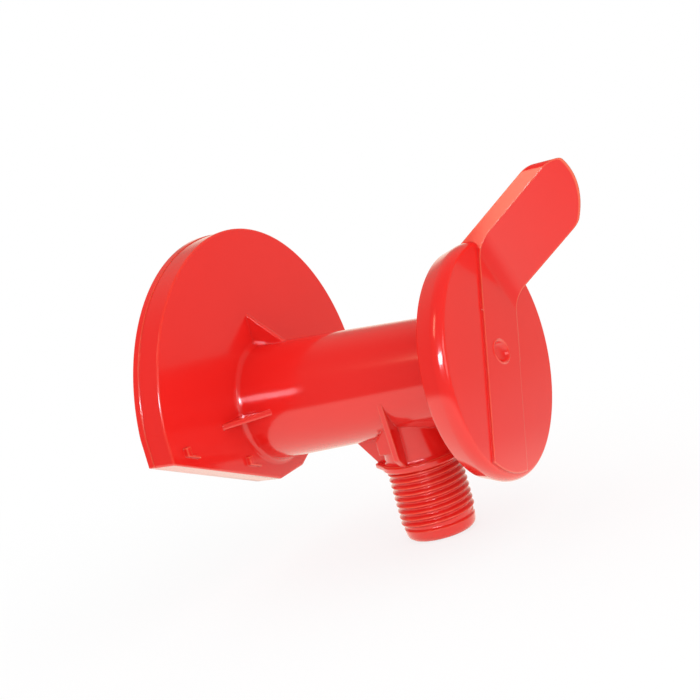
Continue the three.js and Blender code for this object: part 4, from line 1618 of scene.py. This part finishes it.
@dataclass
class Studio:
    """White studio: camera, soft boxes, a pale floor and a white world, in metres."""

    # The camera was fitted to the outlines in the photograph.
    focal_pixels: float = 1450.0
    frame_pixels: float = 700.0
    sensor: float = 36.0
    clip: Pair = (0.01, 20.0)
    camera_place: Triple = (0.248977, -0.344064, 0.064267)
    right: Triple = (0.8403367, 0.4700966, -0.2698952)
    down: Triple = (-0.1660423, -0.2507359, -0.9537093)
    middle: Triple = (0.05, 0.0, 0.0)
    floor_height: float = -0.0453
    floor_size: float = 8.0
    floor_white: float = 0.9
    floor_glow: Pair = (0.8, 1.0)
    shadow_reach: Pair = (0.09, 0.3)
    # The room lights the valve evenly, but a gleam shows a dim room, a wall that is a
    # little brighter and a white sweep behind the valve.
    world_light: float = 1.1
    room_tint: str = "#fff3e2"
    sweep_side: Triple = (-0.45, 0.88, -0.1)
    wall_edge: Pair = (-0.1, 0.6)
    sweep_edge: Pair = (0.6, 0.97)
    sweep_rise: Pair = (0.12, 0.45)
    sweep_light: float = 1.0
    wall_light: float = 0.3
    room_light: float = 0.14
    # How bright a gleam shows the floor near the valve.
    near_light: float = 1.15
    near_place: Triple = (-0.03, -0.07, 0.0)
    near_reach: Pair = (0.1, 0.22)

    def camera(self) -> None:
        """Place the camera at the photograph's point of view."""
        lens = bpy.data.cameras.new("photo_camera")
        lens.sensor_width = self.sensor
        lens.lens = self.focal_pixels * self.sensor / self.frame_pixels
        lens.clip_start, lens.clip_end = self.clip
        camera = bpy.data.objects.new("photo_camera", lens)
        bpy.context.scene.collection.objects.link(camera)
        turn = basis(Vector(self.right).normalized(), -Vector(self.down).normalized())
        camera.matrix_world = Matrix.Translation(Vector(self.camera_place)) @ turn
        bpy.context.scene.camera = camera

    def room(self, tree: bpy.types.NodeTree, way: Source) -> bpy.types.Node:
        """Say how bright the room looks in a gleam: dim round the camera, bright behind the valve.

        Args:
            tree: Node tree to add to.
            way: Node or socket with the direction looked in.

        Returns:
            The node with the brightness.
        """
        side = add_node(
            tree, "VectorMath", {"operation": "DOT_PRODUCT"}, in_0=way,
            in_1=Vector(self.sweep_side).normalized(),
        )
        wall = add_node(
            tree, "MapRange", SMOOTH, value=side, from_min=self.wall_edge[0], from_max=self.wall_edge[1],
            to_min=self.room_light, to_max=self.wall_light,
        )
        sweep = add_node(
            tree, "MapRange", SMOOTH, value=side, from_min=self.sweep_edge[0],
            from_max=self.sweep_edge[1], to_min=0, to_max=self.sweep_light - self.wall_light,
        )
        height = add_node(tree, "SeparateXYZ", in_0=way).outputs["Z"]
        low = add_node(
            tree, "MapRange", SMOOTH, value=height, from_min=self.sweep_rise[0],
            from_max=self.sweep_rise[1], to_min=1, to_max=0,
        )
        band = add_node(tree, "Math", {"operation": "MULTIPLY"}, in_0=sweep, in_1=low)
        return add_node(tree, "Math", {"operation": "ADD"}, in_0=wall, in_1=band)

    def tint(self, tree: bpy.types.NodeTree, gleam: Source) -> bpy.types.Node:
        """Give white, or the room's warm tint where it is seen in a gleam."""
        return add_node(
            tree, "Mix", COLOUR_MIX, in_0=gleam, in_6=linear("#ffffff"), in_7=linear(self.room_tint)
        )

    def world(self) -> None:
        """Light from all round, white where it is seen, with a dim room behind the camera."""
        world = bpy.data.worlds.new("white_room")
        world.use_nodes = True
        tree = world.node_tree
        tree.nodes.clear()
        path = add_node(tree, "LightPath").outputs
        gleam = path["Is Glossy Ray"]
        way = add_node(tree, "TexCoord").outputs["Generated"]
        light = add_node(
            tree, "Mix", NUMBER_MIX, in_0=gleam, in_2=self.world_light, in_3=self.room(tree, way)
        )
        direct = add_node(
            tree, "Math", {"operation": "MAXIMUM"}, in_0=path["Is Camera Ray"],
            in_1=path["Is Transmission Ray"],
        )
        strength = add_node(tree, "Mix", NUMBER_MIX, in_0=direct, in_2=light, in_3=1.0)
        glow = add_node(tree, "Background", color=self.tint(tree, gleam), strength=strength)
        add_node(tree, "OutputWorld", surface=glow)
        bpy.context.scene.world = world

    def floor_finish(self) -> bpy.types.Material:
        """Build the pale floor's finish, which keeps a faint shadow near the valve.

        Returns:
            The material.
        """
        material, tree = new_material("white_sweep")
        path = add_node(tree, "LightPath").outputs
        gleam = path["Is Glossy Ray"]
        seen = path["Is Camera Ray"]
        for way_seen in (gleam, path["Is Transmission Ray"]):
            seen = add_node(tree, "Math", {"operation": "MAXIMUM"}, in_0=seen, in_1=way_seen)
        place = add_node(tree, "TexCoord").outputs["Object"]
        reach = add_node(tree, "VectorMath", {"operation": "LENGTH"}, in_0=place)
        share = add_node(
            tree, "MapRange", SMOOTH, value=reach, from_min=self.shadow_reach[0],
            from_max=self.shadow_reach[1], to_min=self.floor_glow[0], to_max=self.floor_glow[1],
        )
        lit = add_node(tree, "Math", {"operation": "MULTIPLY"}, in_0=seen, in_1=share)
        shift = add_node(
            tree, "VectorMath", {"operation": "DISTANCE"}, in_0=place, in_1=Vector(self.near_place)
        )
        far = add_node(
            tree, "MapRange", SMOOTH, value=shift, from_min=self.near_reach[0],
            from_max=self.near_reach[1], to_min=0, to_max=1,
        )
        way = add_node(tree, "VectorMath", {"operation": "NORMALIZE"}, in_0=place)
        mirrored = add_node(
            tree, "Mix", NUMBER_MIX, in_0=far, in_2=self.near_light, in_3=self.room(tree, way)
        )
        strength = add_node(tree, "Mix", NUMBER_MIX, in_0=gleam, in_2=1.0, in_3=mirrored)
        glow = add_node(tree, "Emission", color=self.tint(tree, gleam), strength=strength)
        matt = add_node(tree, "BsdfDiffuse", color=(self.floor_white,) * 3 + (1,))
        mixed = add_node(tree, "MixShader", in_0=lit, in_1=matt, in_2=glow)
        add_node(tree, "OutputMaterial", surface=mixed)
        return material

    def floor(self) -> None:
        """Lay the floor under the valve."""
        mesh = bmesh.new()
        bmesh.ops.create_grid(mesh, x_segments=1, y_segments=1, size=self.floor_size / 2)
        data = bpy.data.meshes.new("white_floor")
        mesh.to_mesh(data)
        mesh.free()
        data.materials.append(self.floor_finish())
        floor = bpy.data.objects.new("white_floor", data)
        floor.location = (*self.middle[:2], self.floor_height)
        bpy.context.scene.collection.objects.link(floor)

    def build(self) -> None:
        """Set up the whole studio."""
        bpy.context.scene.view_settings.view_transform = "Standard"
        self.camera()
        for box in SOFT_BOXES:
            box.hang(self.middle)
        self.world()
        self.floor()


def main() -> None:
    """Build the valve and its studio in order."""
    logging.basicConfig(level=logging.INFO, format="%(name)s: %(message)s")
    dressing = {
        Slot.RED: RED_ABS.build(),
        Slot.WHITE: WHITE_ACETAL.build(),
        Slot.RUBBER: NITRILE.build(),
        Slot.STEEL: STAINLESS_STEEL.build(),
        Slot.BRASS: BRASS.build(),
    }
    layout = Layout()
    body = ValveBody(layout)
    rotor = Rotor(layout)
    body.build(dressing)
    HullPad(body).build(dressing)
    rotor.build(dressing)
    Seals(rotor).build(dressing)
    Hardware(rotor).build(dressing)
    Knob(layout).build(dressing)
    Studio().build()


if __name__ == "__main__":
    main()
